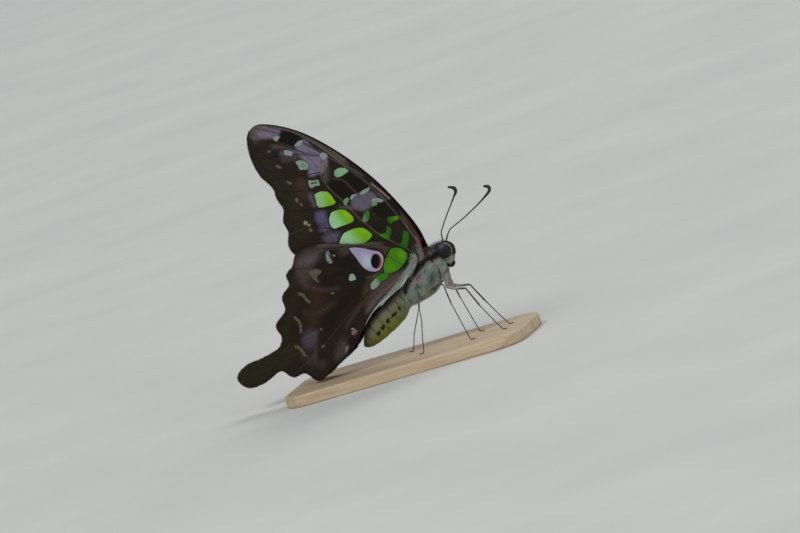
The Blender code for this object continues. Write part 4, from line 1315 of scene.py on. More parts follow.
# Colour, centre, radii, lean, strength; places as seen against the middle plane
THORAX_WASHES = [
    (HAIR_BLUE, (8.4, 18.4), (1.5, 2.4), 60.0, 0.75),
    (HAIR_SLATE, (9.5, 17.3), (0.7, 1.3), -10.0, 0.8),
    (HAIR_SLATE, (6.3, 16.2), (0.8, 0.6), 0.0, 0.6),
    (HAIR_SLATE, (8.0, 15.6), (1.5, 0.6), -30.0, 0.5),
    (HAIR_BLUE, (5.6, 15.3), (0.7, 0.9), 0.0, 0.6),
    (HAIR_BROWN, (10.4, 17.6), (0.5, 1.2), -20.0, 0.7),
    (CREAM, (10.7, 16.4), (0.4, 1.4), 25.0, 0.95),
    # olive hair low on the thorax, painted lighter as fill light for its shaded underside
    (HAIR_OLIVE, (9.2, 13.5), (0.35, 2.2), -55.0, 0.6),
    (HAIR_OLIVE, (5.0, 12.6), (0.6, 1.8), 80.0, 0.7),
    (HAIR_DARK, (8.7, 14.8), (0.25, 0.5), -10.0, 0.8),
    (HAIR_BROWN, (10.0, 22.3), (2.2, 0.7), 20.0, 1.0),
    (PALE_HAIR, (11.6, 22.5), (1.1, 0.45), 10.0, 0.7),
    (PALE_HAIR, (8.6, 21.6), (0.6, 0.4), 30.0, 0.4),
    (CHEEK, (12.7, 20.0), (0.8, 0.9), 0.0, 0.8),
    (COXA_HAIR, (12.3, 17.6), (0.7, 1.6), -8.0, 0.95),
    (PALE_HAIR, (11.5, 19.0), (0.7, 1.0), 0.0, 0.5),
    (ROSE_HAIR, (11.3, 20.6), (0.65, 0.6), 10.0, 1.0),
    (ROSE_HAIR, (6.6, 18.0), (0.75, 0.6), 20.0, 1.0)]
BODY_BAND = np.array([(12.9, 22.3), (12.0, 21.8), (11.0, 21.5), (9.1, 20.9), (7.4, 20.0),
                      (5.2, 19.0), (3.9, 17.6), (3.2, 16.2)])
ABDOMEN_WASHES = [
    (ROSE, (2.75, 16.2), (0.4, 1.0), 5.0, 0.6),
    (ABDOMEN_BASE, (2.0, 11.6), (2.0, 1.5), -60.0, 0.75),
    (HAIR_GREY, (3.3, 12.9), (1.0, 2.0), -25.0, 0.75),
    (LILAC, (-0.6, 12.6), (1.4, 0.5), 35.0, 0.35),
    (LILAC, (-3.4, 13.4), (1.4, 0.8), 40.0, 0.4),
    # painted shadow of the hind wing's fold along the top of the abdomen
    (PAINTED_SHADOW_TEAL, (-2.4, 15.0), (3.6, 0.4), 38.0, 0.6)]
ABDOMEN_SPOTS = [
    ((0.6, 12.8), (0.3, 0.42), 0.0), ((-0.9, 11.85), (0.75, 0.32), 35.0),
    ((-2.6, 10.9), (0.42, 0.48), 0.0), ((-4.15, 9.85), (0.55, 0.36), 40.0),
    ((-5.4, 8.95), (0.5, 0.32), 55.0), ((-6.9, 11.1), (0.2, 0.25), 0.0),
    ((3.1, 15.0), (0.38, 0.5), 0.0), ((2.4, 14.4), (0.25, 0.3), 0.0)]


WAVES = 16
COARSE_SIZE = 0.9
FINE_SIZE = 0.32
SPECKLE_SIZE = 0.17
THORAX_SLOPE = 0.55
HEAD_BORDER = ((17.0, 19.0, 20.5, 24.0), (14.6, 13.7, 12.9, 12.3))     # heights, x


def ripple(points, size, seed):
    """Soft noise, mostly from -1 to 1, in lumps about size across."""
    own = np.random.default_rng(seed)
    total = np.zeros(len(points))
    for _ in range(WAVES):
        way = unit(own.normal(size=(1, 3)))[0] * (math.pi / (size * own.uniform(0.7, 1.5)))
        total += np.sin(points @ way + own.uniform(0.0, TURN))
    return total / math.sqrt(WAVES)


def seen_at(points):
    """Where points of the body appear against the middle plane, from the side."""
    return points[:, (0, 2)] - np.abs(points[:, 1])[:, None] * np.array(SIDE_LEAN)


def ramp_rows(values, *stops):
    """Rows of colours along (place, colour) stops."""
    places, colours = zip(*stops)
    return read_rows(values, places, colours)


def head_share(points):
    """1 on the head, 0 behind and below it."""
    heights, borders = HEAD_BORDER
    border = np.interp(points[:, 2], heights, borders)
    return ease(points[:, 0], border - 0.25, border + 0.25)


def height_on_thorax(points):
    """Height, measured along the thorax's own slope."""
    return points[:, 2] - THORAX_SLOPE * (points[:, 0] - 6.0)


def wash_ovals(colour, seen, washes):
    """Colours with soft ovals laid over them."""
    for tint, centre, radii, lean, strength in washes:
        colour = blend(colour, tint, strength * soft_oval(seen, centre, radii, lean))
    return colour


def thorax_colour(points, seen, coarse, fine):
    """Pale grey, mottled, brown above, with a black band along the upper side."""
    # Low on the thorax the olive and pale hair is painted lighter: painted fill light against the
    # shade on its underside
    colour = ramp_rows(height_on_thorax(points), (12.0, HAIR_OLIVE), (12.8, PALE_HAIR),
                       (15.0, HAIR_GREY), (19.6, HAIR_GREY), (21.0, HAIR_BROWN),
                       (22.3, HAIR_DARK))
    colour = wash_ovals(colour, seen, THORAX_WASHES)
    speckle = ripple(points, SPECKLE_SIZE, 3)
    colour = blend(colour, HAIR_SLATE, 0.75 * ease(coarse + 0.8 * fine, 0.2, 1.5))
    colour = blend(colour, PALE_HAIR, 0.7 * ease(-coarse + 0.8 * fine, 0.3, 1.5))
    colour = blend(colour, HAIR_DARK, 0.4 * ease(speckle, 0.5, 1.5))
    band, _ = line_distance(seen, BODY_BAND)
    band = band + 0.2 * coarse + 0.22 * fine
    colour = blend(colour, BAND_GREY, 0.8 * (1 - ease(band, 0.5, 0.95)))
    return blend(colour, BAND_BLACK, 0.95 * (1 - ease(band + 0.15 * fine, 0.28, 0.58)))


def abdomen_colour(points, seen, fine):
    """Yellow-green below, grey above, with ring seams, a row of dark spots and a painted shadow
    along the top.
    """
    along, height = abdomen_place(points)
    colour = ramp_rows(height, (-0.95, BELLY), (-0.55, BELLY), (-0.2, FLANK), (0.3, FLANK),
                       (0.7, BACK), (1.0, BACK))
    colour = blend(colour, TIP, 0.8 * (1 - ease(along, 0.05, 0.35)))
    colour = wash_ovals(colour, seen, ABDOMEN_WASHES)
    colour = blend(colour, TIP, 0.3 * ease(ring_place(along), 0.7, 0.98))
    for centre, radii, lean in ABDOMEN_SPOTS:
        gap = oval_distance(seen, centre, radii, lean)
        colour = blend(colour, BODY_SPOT, 0.95 * (1 - ease(gap + 0.08 * fine, -0.04, 0.16)))
    return colour


def head_colour(points, seen):
    """Pale cheeks and eye rings, a dark frons, crown and palp edge."""
    x, z = points[:, 0], points[:, 2]
    wide = np.abs(points[:, 1])
    from_eye = np.hypot(x - EYE_CENTRE[0], z - EYE_CENTRE[2])
    low_front = ease(seen[:, 0] - 0.3 * (21.0 - seen[:, 1]), 13.2, 14.4)
    ring = np.maximum(1 - ease(from_eye, 1.75, 2.0), low_front)
    colour = blend(plain(CHEEK, len(points)), EYE_RING, ring)
    crown = ease(13.6 - x, 0.0, 0.6) * ease(z, 21.0, 21.6) * (1 - ease(wide, 1.0, 1.3))
    colour = blend(colour, HAIR_DARK, 0.85 * crown)
    from_middle = np.hypot(x - 14.3, z - 21.9)
    frons = (1 - ease(wide, 0.85, 1.05)) * ease(from_middle, 1.4, 1.6) * ease(z, 20.4, 21.0)
    colour = blend(colour, FRONS, 0.95 * frons)
    palp_edge = ease(x - 0.45 * (z - 19.4), 15.22, 15.4) * (1 - ease(z, 20.8, 21.4))
    return blend(colour, HAIR_DARK, 0.9 * palp_edge)


def body_colour(points):
    """The markings of the skin and its coat, at places on the body."""
    seen = seen_at(points)
    coarse, fine = ripple(points, COARSE_SIZE, 1), ripple(points, FINE_SIZE, 2)
    colour = thorax_colour(points, seen, coarse, fine)
    for own, share in ((abdomen_colour(points, seen, fine), abdomen_share(points)),
                       (head_colour(points, seen), head_share(points))):
        colour = colour * (1 - share[:, None]) + own * share[:, None]
    colour[:, 3] = 1.0
    return colour


# ---------------------------------------------------------------- tufts

AXIS_START = np.array((-9.5, 0.0, 7.6))
AXIS_RUN = np.array((25.9, 0.0, 14.2))
AXIS_END = 3.0                # the unwrap closes over the body's ends from here on
END_REACH = 2.6
UNWRAP_LENGTH = 34.0

# A tuft's three rings, from its root: how steeply it rises there, and its share of the width
TUFT_RINGS = ((1.0, 1.0), (0.65, 0.85), (0.25, 0.5))
TUFT_FACES = [(0, 3, 4, 1), (1, 4, 5, 2), (2, 5, 3, 0), (3, 6, 7, 4), (4, 7, 8, 5),
              (5, 8, 6, 3), (6, 9, 7), (7, 9, 8), (8, 9, 6), (0, 1, 2)]
TUFT_POINTS = 10
TUFT_SHADE = np.repeat((0.7, 0.92, 1.05, 1.1), (3, 3, 3, 1))
TUFT_SPOTS = np.array([(dx, dy) for dy in (0.0, 0.001, 0.002) for dx in (0.0, 0.003, 0.0015)]
                      + [(0.0015, 0.003)])
TUFT_SINK = 0.03


def unwrap(points):
    """Each place on an unwrap of the body's skin: round the body, and along it."""
    ahead = AXIS_RUN / np.linalg.norm(AXIS_RUN)
    above = np.array((-ahead[2], 0.0, ahead[0]))
    off = points - AXIS_START
    along, height, wide = off @ ahead, off @ above, off[:, 1]
    kept = np.clip(along, AXIS_END, np.linalg.norm(AXIS_RUN) - AXIS_END)
    reach = np.hypot(height, wide)
    ends = np.arctan2(along - kept, np.maximum(reach, 0.05)) * END_REACH
    round_share = np.arctan2(wide, height) / TURN * 0.96 + 0.5
    return np.column_stack((round_share, (kept + ends + 2.0) / UNWRAP_LENGTH))


def scatter(skin, wanted, weight):
    """Seeded roots spread over the skin: places and normals, weight giving their density."""
    points, faces, normals = skin
    quads = np.array([face for face in faces if len(face) == 4])
    corners = points[quads]
    middle = corners.mean(1)
    area = np.linalg.norm(np.cross(corners[:, 2] - corners[:, 0],
                                   corners[:, 3] - corners[:, 1]), axis=1) / 2
    share = area * weight(middle)
    chosen = rng.choice(len(quads), wanted, p=share / share.sum())
    u, v = rng.random((2, wanted, 1))
    weights = np.stack(((1 - u) * (1 - v), u * (1 - v), u * v, (1 - u) * v), axis=1)
    roots = (points[quads[chosen]] * weights).sum(1)
    return roots, unit((normals[quads[chosen]] * weights).sum(1))


def spikes(roots, normals, lie, length, width, stand):
    """Three-sided tapering spikes that rise from their roots and lie back down."""
    across = np.cross(normals, lie)
    rings, spot = [], roots - normals * TUFT_SINK
    for rise, taper in TUFT_RINGS:
        way = unit(lie + normals * (stand * rise)[:, None])
        over = np.cross(way, across)
        half = width * taper / 2
        rings.extend((spot - across * half, spot + across * half, spot - over * half * 0.7))
        spot = spot + way * length / 3
    return np.stack(rings + [spot], axis=1).reshape(-1, 3)


def add_tufts(name, roots, normals, lie, length, width, stand, colour, material,
              places=None):
    """A piece of coat, one spike to a tuft.

    lie is the way each one points; stand is how steeply it rises, 0 for flat; places are the
    roots' places on the piece's unwrap.
    """
    count = len(roots)
    lie = unit(lie - normals * (lie * normals).sum(1)[:, None] + 1e-6)
    wander = rng.normal(0.0, 0.16, (count, 1))
    lie = unit(lie + np.cross(normals, lie) * wander)
    stand = stand * rng.uniform(0.6, 1.4, count)
    length = (length * rng.uniform(0.7, 1.2, count))[:, None]
    width = (width * rng.uniform(0.75, 1.25, count))[:, None]
    points = spikes(roots, normals, lie, length, width, stand)
    starts = np.arange(count)[:, None] * TUFT_POINTS
    faces = []
    for corners in TUFT_FACES:
        faces.extend((starts + np.array(corners)).tolist())
    shade = rng.uniform(0.68, 1.24, (count, 1, 1)) * TUFT_SHADE[None, :, None]
    tint = np.repeat(colour[:, None, :], TUFT_POINTS, axis=1)
    tint[:, :, :3] *= shade
    at = unwrap(roots) if places is None else places
    uv = at[:, None, :] + TUFT_SPOTS[None, :, :]
    piece = add_tinted(name, points, faces, material, tint.reshape(-1, 4), uv.reshape(-1, 2))


def tint_material(name, **values):
    """A finish that takes its colour from the mesh."""
    finish = Finish(name, **values)
    finish.shade("Base Color", finish.attribute("tint"))
    return finish


# ---------------------------------------------------------------- body and coat

SOMEWHERE = 1e-9              # keeps every share of a scatter above zero
BREAST_LINE = np.array([(3.6, 12.9), (5.0, 12.5), (7.2, 12.8), (9.2, 13.7), (10.8, 15.1)])
CREST_LINE = np.array([(9.6, 23.1), (11.2, 23.2), (12.6, 22.9), (13.4, 23.4), (14.2, 23.7)])


def clear_of_eyes(spots):
    """0 where an eye covers the head."""
    off = spots - EYE_CENTRE
    inner = np.hypot(off[:, 0] / EYE_RADII[0], off[:, 2] / EYE_RADII[2])
    return np.where((np.abs(spots[:, 1]) > 0.75) & (inner < 0.98), 0.0, 1.0)


# Where each coat grows: how thickly, at places on the skin

def on_thorax(spots):
    return (1 - abdomen_share(spots)) * (1 - head_share(spots)) + SOMEWHERE


def on_abdomen(spots):
    return abdomen_share(spots) + SOMEWHERE


def on_head(spots):
    return head_share(spots) * clear_of_eyes(spots) + SOMEWHERE


def on_breast(spots):
    gap, _ = line_distance(spots[:, (0, 2)], BREAST_LINE)
    return np.exp(-(gap / 0.45) ** 2) + SOMEWHERE


def on_crest(spots):
    gap, _ = line_distance(spots[:, (0, 2)], CREST_LINE)
    return np.exp(-(gap / 0.5) ** 2) * (1 - ease(np.abs(spots[:, 1]), 1.2, 1.8)) + SOMEWHERE


def loose(way, count):
    """One way for every tuft, strewn."""
    return np.tile(way, (count, 1)) + rng.normal(0, 0.35, (count, 3))


def add_skin(skin):
    """The skin under the coat, a little darker than it."""
    points, faces, _ = skin
    finish = tint_material("body_skin", Roughness=0.75, Specular_IOR_Level=0.2)
    grain = finish.noise(finish.position(), scale=4.0, detail=3.0)
    tint = finish.mix(1.0, finish.attribute("tint"), finish.scaled(grain, 0.5, 0.6), "MULTIPLY")
    finish.shade("Base Color", tint)
    finish.bump(grain, distance=0.05, strength=0.6)
    colour = body_colour(points)
    colour[:, :3] *= 0.8
    piece = add_tinted("body_skin", points, faces, finish.material, colour)
    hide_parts("abdomen", "thorax", "head", "palp_left", "palp_right")


def add_coat(skin, hair, scales):
    """The coat of thorax, breast, abdomen, head and neck."""
    roots, normals = scatter(skin, 11500, on_thorax)
    top = ease(height_on_thorax(roots), 20.0, 21.5)
    lie = np.array((-0.75, 0.0, -0.65)) + top[:, None] * (-0.4, 0.0, 0.6)
    add_tufts("thorax_hair", roots, normals, lie, 0.75 + 0.35 * top, 0.075, 0.35 + 0.4 * top,
              body_colour(roots), hair)

    count = 700
    roots, normals = scatter(skin, count, on_breast)
    lie = loose((-0.5, 0.0, -0.8), count)
    colour = blend(body_colour(roots), PALE_HAIR, 0.6 * rng.random(count))
    add_tufts("breast_bristles", roots, normals, lie, rng.uniform(0.4, 0.9, count), 0.05, 1.2,
              colour, hair)

    count = 12000
    roots, normals = scatter(skin, count, on_abdomen)
    lie = np.tile((-0.85, 0.0, -0.5), (count, 1))
    add_tufts("abdomen_scales", roots, normals, lie, 0.34, 0.11, 0.16, body_colour(roots),
              scales)

    roots, normals = scatter(skin, 7500, on_head)
    turned = 0.8 * np.sign(roots[:, 2] - HEAD_CENTRE[2])
    lie = np.column_stack((np.full(len(roots), -0.5), np.zeros(len(roots)), turned))
    frons = (1 - ease(np.abs(roots[:, 1]), 0.7, 0.95)) * ease(roots[:, 2], 20.4, 21.2)
    add_tufts("head_hair", roots, normals, lie, 0.2 + 0.14 * frons, 0.045, 0.25 + 0.7 * frons,
              body_colour(roots), hair)

    count = 1100
    roots, normals = scatter(skin, count, on_crest)
    colour = blend(plain(HAIR_DARK, count), HAIR_BROWN, rng.random(count))
    lie = loose((-0.9, 0.0, 0.4), count)
    add_tufts("neck_crest", roots, normals, lie, rng.uniform(0.6, 1.5, count), 0.06, 1.5,
              colour, hair)


def add_body():
    """The skin and its coat; gives the coat's material."""
    skin = body_skin()
    add_skin(skin)
    hair = tint_material("body_hair", Roughness=0.6, Specular_IOR_Level=0.25).material
    scales = tint_material("abdomen_scales", Roughness=0.55, Specular_IOR_Level=0.3).material
    add_coat(skin, hair, scales)
    return hair


# ---------------------------------------------------------------- eyes

# Dark brown below; the bluish upper stops are a painted sheen on the eye
EYE_TONE_AND_SHEEN = ((0.05, srgb(24, 18, 6)), (0.4, srgb(12, 15, 13)), (0.68, srgb(28, 33, 44)),
                (0.98, srgb(72, 72, 116)))
EYE_LEAN = 0.25               # the gradient runs up and a little back
GRADIENT_START = 20.65 - EYE_LEAN * 14.15
GRADIENT_LENGTH = 2.9
FACETS = 22.0
EYE_SCALES = 800
DARK_SIDE = math.radians(135)


def eye_material():
    """A glossy dark eye, brown below, with a painted bluish sheen above and fine facets."""
    finish = Finish("compound_eye", Roughness=0.42, Specular_IOR_Level=0.35)
    place = finish.position()
    split = finish.nodes.new("ShaderNodeSeparateXYZ")
    finish.feed(split.inputs[0], place)
    height = finish.scaled(split.outputs[0], -EYE_LEAN, split.outputs[2])
    share = finish.scaled(height, 1 / GRADIENT_LENGTH, -GRADIENT_START / GRADIENT_LENGTH)
    finish.shade("Base Color", finish.ramp(share, *EYE_TONE_AND_SHEEN))
    finish.bump(finish.cells(place, FACETS), distance=0.01, strength=0.4)
    return finish.material


def add_eyes():
    """Compound eyes, set into the head."""
    material = eye_material()
    for label, side in SIDES:
        centre = np.array(EYE_CENTRE) * (1, side, 1)
        points, faces = ball(centre, EYE_RADII, 48, 72)
        piece = add_mesh(f"compound_eye_{label}", points, faces, material)
        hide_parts(f"eye_{label}")


def add_eye_scales(hair):
    """A thin ring of pale scales round each eye, dark above and behind."""
    for label, side in SIDES:
        turn = rng.uniform(0, TURN, EYE_SCALES)
        around = upright(np.column_stack((np.cos(turn), np.sin(turn))))
        roots = np.array(EYE_CENTRE) * (1, side, 1) + around * EYE_RADII * 0.985
        roots[:, 1] += side * rng.uniform(-0.3, 0.1, EYE_SCALES)
        normals = unit(around + (0.0, 0.6 * side, 0.0))
        lie = upright(np.column_stack((-np.sin(turn), np.cos(turn)))) + 0.6 * around
        dark = ease(np.cos(turn - DARK_SIDE), 0.2, 0.7)
        colour = blend(plain(EYE_RING, EYE_SCALES), HAIR_DARK, 0.9 * dark)
        add_tufts(f"eye_scales_{label}", roots, normals, lie, 0.26, 0.06, 0.6, colour,
                  hair)


# ---------------------------------------------------------------- antennae, tongue and legs

ANTENNA_RIGHT = [
    (14.4, -0.55, 23.5), (14.7, -1.2, 25.7), (15.8, -2.2, 27.2), (17.7, -3.8, 29.3),
    (19.4, -5.1, 31.1), (21.0, -6.4, 32.8), (22.1, -7.4, 34.0), (22.1, -7.9, 34.8),
    (21.0, -8.1, 35.4)]
ANTENNA_LEFT = [
    (14.5, 0.5, 23.4), (16.0, 1.4, 25.6), (17.5, 2.4, 26.3), (19.2, 3.6, 27.0),
    (20.8, 4.8, 27.8), (23.3, 6.8, 29.2), (25.1, 8.4, 30.6), (25.0, 8.8, 31.3),
    (24.0, 9.0, 31.7)]
ANTENNA_RADII = (0.2, 0.13, 0.13, 0.13, 0.14, 0.18, 0.34, 0.4, 0.22)
FORELEG = [(12.9, 0.9, 18.6), (12.7, 1.1, 16.6), (12.4, 1.4, 14.5), (14.2, 1.9, 13.6),
           (16.3, 2.2, 13.2), (18.2, 2.8, 9.0), (20.5, 3.1, 4.6), (21.4, 3.2, 3.2)]
MIDLEG = [(9.3, 0.9, 15.2), (9.7, 2.3, 14.8), (10.9, 3.3, 15.6), (12.3, 3.8, 15.5),
          (12.8, 4.2, 11.4), (13.6, 4.5, 7.5), (14.5, 4.7, 3.2)]
HINDLEG_RIGHT = [(6.3, 0.9, 14.4), (6.2, 2.6, 13.8), (6.6, 3.4, 14.8), (6.6, 3.7, 15.5),
                 (5.8, 4.0, 12.2), (5.5, 4.1, 9.3), (4.6, 4.3, 6.0), (4.0, 4.4, 3.2)]
HINDLEG_LEFT = [(6.0, 0.9, 14.4), (5.6, 2.6, 13.8), (5.4, 3.4, 14.8), (5.0, 3.7, 15.4),
                (3.8, 4.0, 11.6), (2.6, 4.1, 9.4), (0.8, 4.3, 6.2), (-0.3, 4.4, 3.2)]
FORELEG_RADII = (0.4, 0.55, 0.34, 0.27, 0.17, 0.16, 0.12, 0.12)
MIDLEG_RADII = (0.24, 0.17, 0.15, 0.15, 0.14, 0.13, 0.12)
HINDLEG_RADII = (0.24, 0.17, 0.15, 0.15, 0.14, 0.13, 0.12, 0.12)
BASE_TOP = 2.6
FOOT_LENGTH = 0.95
TARSUS_RADIUS = 0.105
TARSUS_CUTS = (0.0, 0.42, 0.6, 0.74, 0.86, 1.0)   # the five tarsal joints, as shares
COIL_CENTRE = (14.35, 19.0)
COIL_START = math.radians(100)
COIL_TURNS = 2.6
COIL_RADII = (0.86, 0.2)
TONGUE_RADII = (0.24, 0.09)
CHITIN = srgb(62, 56, 44)
CLUB = srgb(34, 28, 20)


def shell_material():
    """Dark horn with a faint grain."""
    finish = tint_material("leg_shell", Roughness=0.42, Specular_IOR_Level=0.4)
    finish.bump(finish.noise(finish.position(), scale=9.0), distance=0.02, strength=0.5)
    return finish.material


def add_antennae(material):
    """Ringed, hooked clubs on fine shafts."""
    around = 14
    for label, line in (("left", ANTENNA_LEFT), ("right", ANTENNA_RIGHT)):
        fine = spaced(smooth(line, 10), 0.1)
        share = np.linspace(0, 1, len(fine))
        along = reach_along(line)
        rings = 1 + 0.07 * np.sign(np.sin(np.arange(len(fine)) * math.pi / 2 + 0.1))
        radii = np.interp(share, along / along[-1], ANTENNA_RADII) * rings
        points, faces = tube(fine, radii, around)
        dark = ease(np.concatenate(([0.0], np.repeat(share, around), [1.0])), 0.6, 0.8)
        piece = add_tinted(f"antenna_{label}_ringed", points, faces, material,
                           blend(plain(CHITIN, len(points)), CLUB, dark))
        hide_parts(f"antenna_{label}")


def add_tongue(material):
    """The coiled proboscis under the head."""
    turn = np.linspace(0.0, COIL_TURNS * TURN, 150)
    ends = (0.0, turn[-1])
    radius = np.interp(turn, ends, COIL_RADII)
    angle = COIL_START + turn
    flat = np.column_stack((-np.cos(angle), np.sin(angle))) * radius[:, None] + COIL_CENTRE
    line = upright(flat, 0.05 * np.sin(turn / 2))
    ribs = 1 + 0.05 * np.sin(np.arange(len(turn)) * 1.6)
    points, faces = tube(line, np.interp(turn, ends, TONGUE_RADII) * ribs, 14)
    piece = add_tinted("proboscis_coiled", points, faces, material, plain(CLUB, len(points)))
    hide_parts("proboscis")


def tarsus_path(joints, foot_way):
    """The line of a tarsus: down to the base, then along it."""
    path = spaced(joints, 0.1)
    x, y, _ = path[-1]
    bend = (x + foot_way * 0.2, y, BASE_TOP + 0.12)
    low = (x + foot_way * FOOT_LENGTH, y, BASE_TOP + 0.1)
    return spaced(np.vstack((path, bend, low)), 0.06)


def tarsal_joints(path):
    """Five joints, each a little thicker at its far end."""
    shapes = []
    for start, end in zip(TARSUS_CUTS, TARSUS_CUTS[1:]):
        first = int(start * (len(path) - 1))
        last = max(int(end * (len(path) - 1)), first + 3)
        run = path[first:last + 1]
        swell = np.interp(np.linspace(0, 1, len(run)), (0, 0.15, 0.8, 1), (0.75, 0.9, 1.0, 1.15))
        shapes.append(tube(run, swell * TARSUS_RADIUS, 10))
    return shapes


def claws(tip, foot_way):
    """Two small hooks."""
    shapes = []
    for spread in (-1, 1):
        hook = [tip, tip + (foot_way * 0.12, spread * 0.09, 0.04),
                tip + (foot_way * 0.24, spread * 0.13, -0.02),
                tip + (foot_way * 0.28, spread * 0.14, -0.1)]
        shapes.append(tube(smooth(hook, 4), np.linspace(0.05, 0.012, 13), 8))
    return shapes


def spurs(knee, end, side):
    """Two spurs at the end of the tibia."""
    shapes = []
    down = (end - knee) / np.linalg.norm(end - knee)
    for spread in (-1, 1):
        spur = [end - down * 0.1, end + down * 0.35 + (0.12 * spread, 0.12 * side, 0.0),
                end + down * 0.75 + (0.18 * spread, 0.18 * side, 0.0)]
        shapes.append(tube(smooth(spur, 4), np.linspace(0.06, 0.015, 9), 8))
    return shapes


def bristles(path, count, side):
    """Tiny bristles down a tarsus, to the front and the back in turn."""
    shapes = []
    for index, spot in enumerate(path[np.linspace(0, len(path) - 1, count).astype(int)]):
        out = np.array(((index % 2) * 2 - 1, 0.4 * side, -0.6)) * 0.16
        shapes.append(tube([spot, spot + out * 0.6, spot + out * 1.2], (0.028, 0.02, 0.006), 5))
    return shapes


def leg_shape(joints, radii, knee, side, foot_way):
    """One leg: coxa and femur, tibia with spurs, a five-part tarsus and two claws."""
    ankle = knee + 1
    path = tarsus_path(joints[ankle:], foot_way)
    tibia = limb(joints[knee:ankle + 1], (radii[knee] * 0.85, radii[ankle] * 1.15))
    return joined(limb(joints[:ankle], radii[:ankle]), tibia, *tarsal_joints(path),
                  *claws(path[-1], foot_way), *spurs(joints[knee], joints[ankle], side),
                  *bristles(path, 16, side), *bristles(path, 26, side))


# Each kind of leg: its left and right joints, radii, knee, the foot's way and its hairs
LEGS = {
    "foreleg": (FORELEG, FORELEG, FORELEG_RADII, 4, 1, 1500),
    "midleg": (MIDLEG, MIDLEG, MIDLEG_RADII, 3, 1, 120),
    "hindleg": (HINDLEG_LEFT, HINDLEG_RIGHT, HINDLEG_RADII, 3, -1, 400)}


def leg_colour(kind, points):
    """Dark horn; the fore and hind legs' upper joints are paler under their hair."""
    x, _, z = points.T
    colour = plain(CHITIN, len(points))
    if kind == "foreleg":
        share = ease(15.2 - x, 0.0, 1.2) * ease(z, 12.0, 13.0)
        colour = blend(colour, COXA_HAIR, 0.8 * share)
    elif kind == "hindleg":
        colour = blend(colour, HAIR_SLATE, 0.6 * ease(z, 12.4, 13.2))
    return colour


def add_legs(material, hair):
    """Six legs; the fore pair's coxae and femora carry a pale coat."""
    for kind, (left, right, radii, knee, foot_way, hairs) in LEGS.items():
        for (label, side), joints in zip(SIDES, (left, right)):
            joints = np.array(joints) * (1, side, 1)
            points, faces = leg_shape(joints, radii, knee, side, foot_way)
            piece = add_tinted(f"{kind}_{label}_jointed", points, faces, material,
                               leg_colour(kind, points))
            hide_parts(f"{kind}_{label}")
            add_leg_hair(f"{kind}_{label}_hair", joints[:knee + 1], radii, hairs, kind, hair)


def add_leg_hair(name, line, radii, count, kind, hair):
    """Short hair round a leg's upper joints, lying down along them."""
    fine = spaced(line, 0.05)
    share = np.linspace(0, 1, len(fine))
    along = reach_along(line)
    spot = rng.random(count)
    middle = read_rows(spot, share, fine)
    run = unit(read_rows(spot, share, np.gradient(fine, axis=0)))
    turn = rng.uniform(0, TURN, count)
    side = unit(np.cross(run, (0.0, 1.0, 0.2)))
    over = np.cross(run, side)
    out = side * np.cos(turn)[:, None] + over * np.sin(turn)[:, None]
    reach = np.interp(spot, along / along[-1], radii[:len(line)])
    roots = middle + out * reach[:, None] * 0.95
    if kind == "foreleg":
        colour = ramp_rows(spot, (0.0, COXA_HAIR), (0.5, COXA_HAIR), (0.72, HAIR_GREY),
                           (0.85, HAIR_OLIVE), (1.0, CHITIN))
        length = np.interp(spot, (0.0, 0.5, 0.8, 1.0), (0.6, 0.5, 0.25, 0.15))
    else:
        colour = plain(CHITIN if kind == "midleg" else HAIR_SLATE, count)
        length = 0.12
    places = 0.02 + 0.94 * np.column_stack((turn / TURN, spot))
    add_tufts(name, roots, out, run, length, 0.055, 0.3, colour, hair, places)


# ---------------------------------------------------------------- the base

WOOD = ((0.32, srgb(178, 150, 116)), (0.5, srgb(206, 182, 148)), (0.68, srgb(222, 202, 172)))


def add_stand():
    """The pale wooden base keeps its solid and gets its grain here."""
    finish = Finish("stand_wood", Roughness=0.5, Specular_IOR_Level=0.35)
    grain = finish.noise(finish.position((0.06, 0.9, 0.9)), scale=1.6, detail=4.0, roughness=0.6)
    rings = finish.noise(finish.position((0.02, 0.25, 0.25)), scale=1.0)
    share = finish.scaled(grain, 0.6, finish.math("MULTIPLY", rings, 0.4))
    finish.shade("Base Color", finish.ramp(share, *WOOD))
    finish.bump(grain, distance=0.02, strength=0.4)
    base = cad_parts["stand_base"]
    base.data.materials.clear()
    base.data.materials.append(finish.material)


# ---------------------------------------------------------------- wing edges and roots

FRINGE_GAP = 0.028
FORE_MARGIN = ((-18.5, 58.2), (-17.1, 30.0))      # the fringe's two ends
HIND_MARGIN = ((-16.7, 30.3), (-8.6, 9.9))
DARK_FRINGE = srgb(38, 32, 26)
OLIVE_FRINGE = srgb(52, 48, 36)


def add_fringe(name, wing, side, ends, colour, hair):
    """Short scales along a wing's margin between two places, pointing outwards."""
    line = wing.margin
    reach = reach_along(line)
    along = reach / reach[-1]
    low, high = [along[np.argmin(np.hypot(*(line - end).T))] for end in ends]
    count = int(reach[-1] * (high - low) / FRINGE_GAP)
    spot = rng.uniform(low, high, count)
    flat = read_rows(spot, along, line)
    out = square_to(unit(read_rows(spot, along, np.gradient(line, axis=0))))
    if inside(flat + out * 0.1, wing.outline).mean() > 0.5:
        out = -out
    flat = flat - out * 0.06
    middle = wing_offset(*flat.T, wing.step) - PLEAT / 2
    roots = upright(flat, side * (middle + rng.uniform(-0.04, 0.04, count)))
    normals = np.tile((0.0, side, 0.0), (count, 1))
    places = 0.02 + 0.94 * np.column_stack((spot, rng.random(count)))
    add_tufts(name, roots, normals, upright(out), 0.3, 0.08, 0.05, plain(colour, count),
              hair, places)


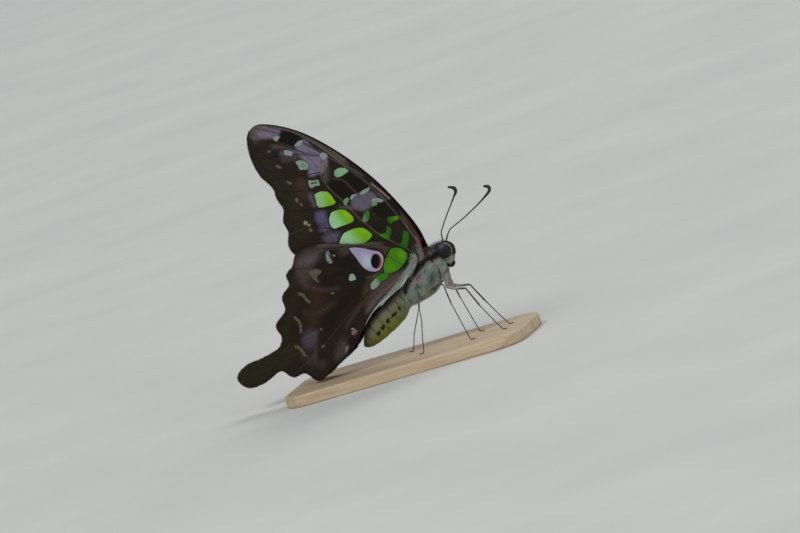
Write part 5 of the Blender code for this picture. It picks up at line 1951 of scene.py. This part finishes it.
def add_root_hair(name, paths, step, side, hair):
    """Streaks of long hair near a wing's root; each path has a width, a colour and a count."""
    spots, ways, tints = [], [], []
    for line, width, colour, count in paths:
        curve = smooth(line, 10)
        share = np.linspace(0, 1, len(curve))
        spot = rng.random(count)
        run = unit(read_rows(spot, share, np.gradient(curve, axis=0)))
        off = rng.normal(0.0, width / 2.5, (count, 1))
        spots.append(read_rows(spot, share, curve) + square_to(run) * off)
        ways.append(run)
        tints.append(plain(colour, count))
    flat = onto_wing(np.vstack(spots), step)
    roots = upright(flat, side * (wing_offset(*flat.T, step) + 0.12))
    normals = np.tile((0.0, side, 0.0), (len(flat), 1))
    places = np.clip(0.02 + (flat - (-12.0, 6.0)) / 26.0, 0.01, 0.99)
    add_tufts(name, roots, normals, upright(np.vstack(ways)), 0.7, 0.06, 0.1, np.vstack(tints),
              hair, places)


# Each streak: its path, width, colour and number of hairs
FORE_STREAKS = [
    ([(8.6, 21.2), (9.0, 22.4), (9.05, 23.4), (8.9, 24.6)], 0.38, ROSE, 110),
    ([(8.9, 21.6), (9.25, 22.6), (9.2, 23.8)], 0.3, srgb(150, 124, 120), 90),
    ([(7.9, 21.6), (8.3, 22.6), (8.3, 23.6)], 0.3, srgb(104, 150, 136), 90),
    ([(8.1, 21.2), (8.7, 22.2), (8.75, 23.6)], 0.3, srgb(160, 170, 168), 130),
    ([(7.4, 21.6), (7.7, 22.8), (7.6, 24.2)], 0.4, srgb(84, 90, 82), 140)]
HIND_STREAKS = [
    ([(7.3, 22.4), (6.4, 21.2), (5.2, 20.0), (3.8, 19.0), (2.4, 17.9)], 0.9,
     srgb(152, 160, 148), 900),
    ([(7.5, 23.2), (7.0, 22.2), (6.3, 21.0)], 0.8, srgb(168, 176, 156), 260),
    ([(7.6, 22.6), (6.9, 21.4), (6.0, 20.2), (4.8, 19.0)], 0.6, srgb(188, 196, 180), 380),
    ([(3.3, 18.6), (1.3, 17.3), (-0.7, 16.3), (-2.4, 15.5)], 0.4, srgb(148, 160, 150), 300)]


def add_wing_hair(fore, hind, hair):
    """The margins' fringes and the streaks of hair at the roots."""
    for label, side in SIDES:
        add_fringe(f"fore_fringe_{label}", fore, side, FORE_MARGIN, DARK_FRINGE, hair)
        add_fringe(f"hind_fringe_{label}", hind, side, HIND_MARGIN, OLIVE_FRINGE, hair)
        add_root_hair(f"fore_root_hair_{label}", FORE_STREAKS, 0.0, side, hair)
        add_root_hair(f"hind_root_hair_{label}", HIND_STREAKS, WING_STEP, side, hair)


# ---------------------------------------------------------------- everything together

add_studio()
add_camera()
fore, hind = add_wings()
add_stand()
coat = add_body()
add_wing_hair(fore, hind, coat)
add_eyes()
add_eye_scales(coat)
shell = shell_material()
add_antennae(shell)
add_tongue(shell)
add_legs(shell, coat)

bpy.context.view_layer.update()
